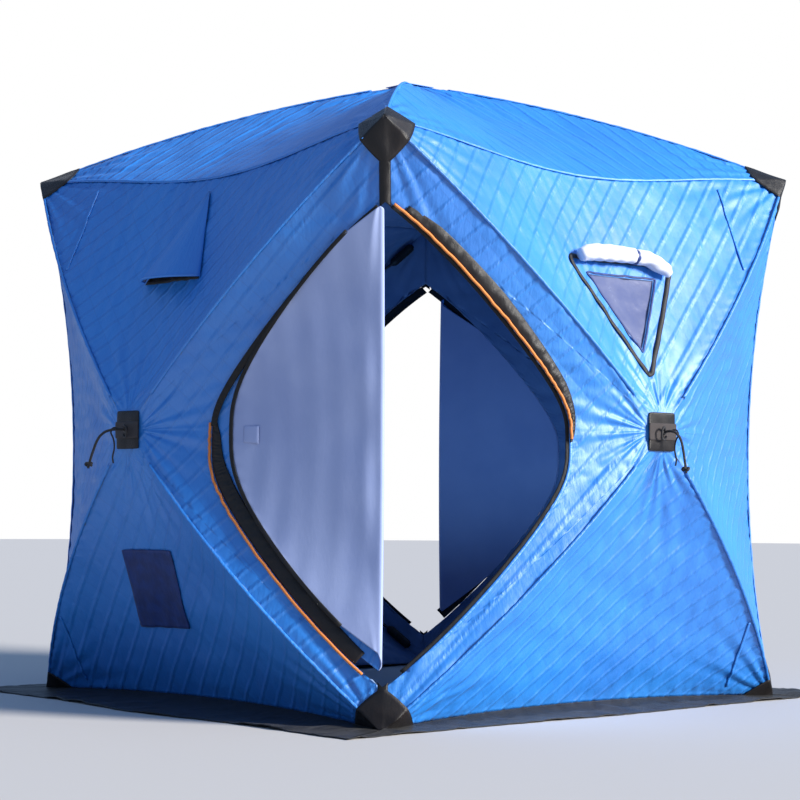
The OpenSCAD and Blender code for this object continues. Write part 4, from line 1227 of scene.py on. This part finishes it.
for q, side in enumerate(walls):
    reach = (0.115, 0.230) if q % 2 == 0 else (0.230, 0.115)
    o = finish_piece(skirt_bm(*reach, q, 171 + 3 * q), side + "_ground_skirt", [mat_skirt], [side + "_skirt"],
            0.0028, -1)
    side + "_wall_bottom"

# ---------------------------------------------------------------- poles and their sleeves
POLE_IN, SLEEVE_IN = 0.0185, (0.0053 + 0.018) * 1.35
SOCKET, SOCKET_IN, TIP, SLEEVE = 0.028, 0.0223, 0.078, 0.120


def wall_pole_path(upper):
    sign, surf = (1, wall_top) if upper else (-1, wall_bottom)
    a = np.array([-SOCKET / math.sqrt(2), -HUB_OUT + SOCKET_IN, HUB_Z + sign * SOCKET / math.sqrt(2)])
    out = np.array([-1, 0, sign]) / math.sqrt(2)
    e = 1 - TIP / POLE_RUN
    run = [grow(one(surf, 0, r), -POLE_IN) for r in np.linspace(0.12, 1 - (TIP + SLEEVE) / POLE_RUN - 0.05, 12)]
    ends = [grow(one(surf, 0, r), -SLEEVE_IN) for r in np.linspace(1 - (TIP + SLEEVE) / POLE_RUN, e, 6)]
    return np.array([a, a + out * 0.016, a + out * 0.024] + run), np.array(ends)


def roof_pole_path():
    a = np.array([-SOCKET / math.sqrt(2), -SOCKET / math.sqrt(2), PEAK - 0.0053 - 0.017])
    out = np.array([-1, -1, 0]) / math.sqrt(2)
    run = [grow(one(roof, 0, r), -POLE_IN) for r in np.linspace(0.12, 1 - (TIP + SLEEVE) / ROOF_RUN - 0.05, 12)]
    ends = [grow(one(roof, 0, r), -SLEEVE_IN) for r in np.linspace(1 - (TIP + SLEEVE) / ROOF_RUN,
            1 - TIP / ROOF_RUN, 6)]
    return np.array([a, a + out * 0.016, a + out * 0.024] + run), np.array(ends)


def pole_parts(path, ends, q, flip, rods, sleeves):
    whole = refine(np.vstack([path, ends[:2]]), 60)
    rods.append(tube_bm(turn(whole, q, flip), 0.0055, 12))
    sleeve = refine(ends, 26)
    k = np.linspace(0, 1, 26)
    fat = 0.0172 * np.clip(np.minimum(k / 0.10, (1 - k) / 0.08), 0.55, 1) + 0.0005 * np.sin(k * 40)
    sleeves.append(tube_bm(turn(sleeve, q, flip), fat, 18))


rods, sleeves, roof_rods = [], [], []
for q in range(4):
    for flip in (False, True):
        for upper in (True, False):
            pole_parts(*wall_pole_path(upper), q, flip, rods, sleeves)
    pole_parts(*roof_pole_path(), q, False, roof_rods, sleeves)
o = finish_piece(join_bm(rods), "bowed_wall_rods", [mat_pole], ["wall_poles"])
o = finish_piece(join_bm(roof_rods), "bowed_roof_rods", [mat_pole], ["roof_poles"])
o = finish_piece(join_bm(sleeves), "pole_end_sleeves", [mat_black], ())
hub_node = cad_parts["pole_hubs"]
hub_node.data.materials.clear()
hub_node.data.materials.append(mat_hub)

# ---------------------------------------------------------------- floor and lights
floor_mat = bpy.data.materials.new("pale_floor")
floor_mat.use_nodes = True
floor_mat.node_tree.nodes["Principled BSDF"].inputs["Base Color"].default_value = (0.58, 0.55, 0.52, 1)
floor_mat.node_tree.nodes["Principled BSDF"].inputs["Roughness"].default_value = 0.85
bm = bmesh.new()
bmesh.ops.create_grid(bm, x_segments=1, y_segments=1, size=30)
mesh = bpy.data.meshes.new("pale_floor")
bm.to_mesh(mesh)
bm.free()
mesh.materials.append(floor_mat)
floor = bpy.data.objects.new("pale_floor", mesh)
scene.collection.objects.link(floor)

world = bpy.data.worlds.new("studio")
world.use_nodes = True
world.node_tree.nodes["Background"].inputs["Color"].default_value = (0.36, 0.58, 1.0, 1)
world.node_tree.nodes["Background"].inputs["Strength"].default_value = 0.52
scene.world = world


def lamp(name, kind, energy, colour, at, size=1.0):
    data = bpy.data.lights.new(name, kind)
    data.energy, data.color = energy, colour
    if kind == "AREA":
        data.shape, data.size = "DISK", size
    else:
        data.angle = size
    o = bpy.data.objects.new(name, data)
    o.location = at
    o.rotation_euler = (Vector((0, 0, 0.9)) - Vector(at)).to_track_quat("-Z", "Y").to_euler()
    scene.collection.objects.link(o)


lamp("key", "SUN", 7.4, (1.0, 0.97, 0.92), (4.2, -8.4, 4.6), 0.30)
# the little light that comes in through the blue cloth
lamp("inside_glow", "AREA", 8, (0.22, 0.52, 1.0), (0.0, 0.0, 0.35), 0.9)
bpy.data.objects["inside_glow"].rotation_euler = (math.pi, 0, 0)
bpy.data.objects["inside_glow"].visible_camera = False

# a plain white dome that only the camera sees
bm = bmesh.new()
bmesh.ops.create_uvsphere(bm, u_segments=48, v_segments=24, radius=26)
bmesh.ops.reverse_faces(bm, faces=bm.faces)
mesh = bpy.data.meshes.new("white_backdrop")
bm.to_mesh(mesh)
bm.free()
dome_mat = bpy.data.materials.new("white_backdrop")
dome_mat.use_nodes = True
shade = dome_mat.node_tree.nodes["Principled BSDF"]
shade.inputs["Base Color"].default_value = (0, 0, 0, 1)
shade.inputs["Specular IOR Level"].default_value = 0
shade.inputs["Emission Color"].default_value = (1, 1, 1, 1)
shade.inputs["Emission Strength"].default_value = 1.0
mesh.materials.append(dome_mat)
dome = bpy.data.objects.new("white_backdrop", mesh)
for ray in ("visible_diffuse", "visible_glossy", "visible_transmission", "visible_volume_scatter",
        "visible_shadow"):
    setattr(dome, ray, False)
scene.collection.objects.link(dome)
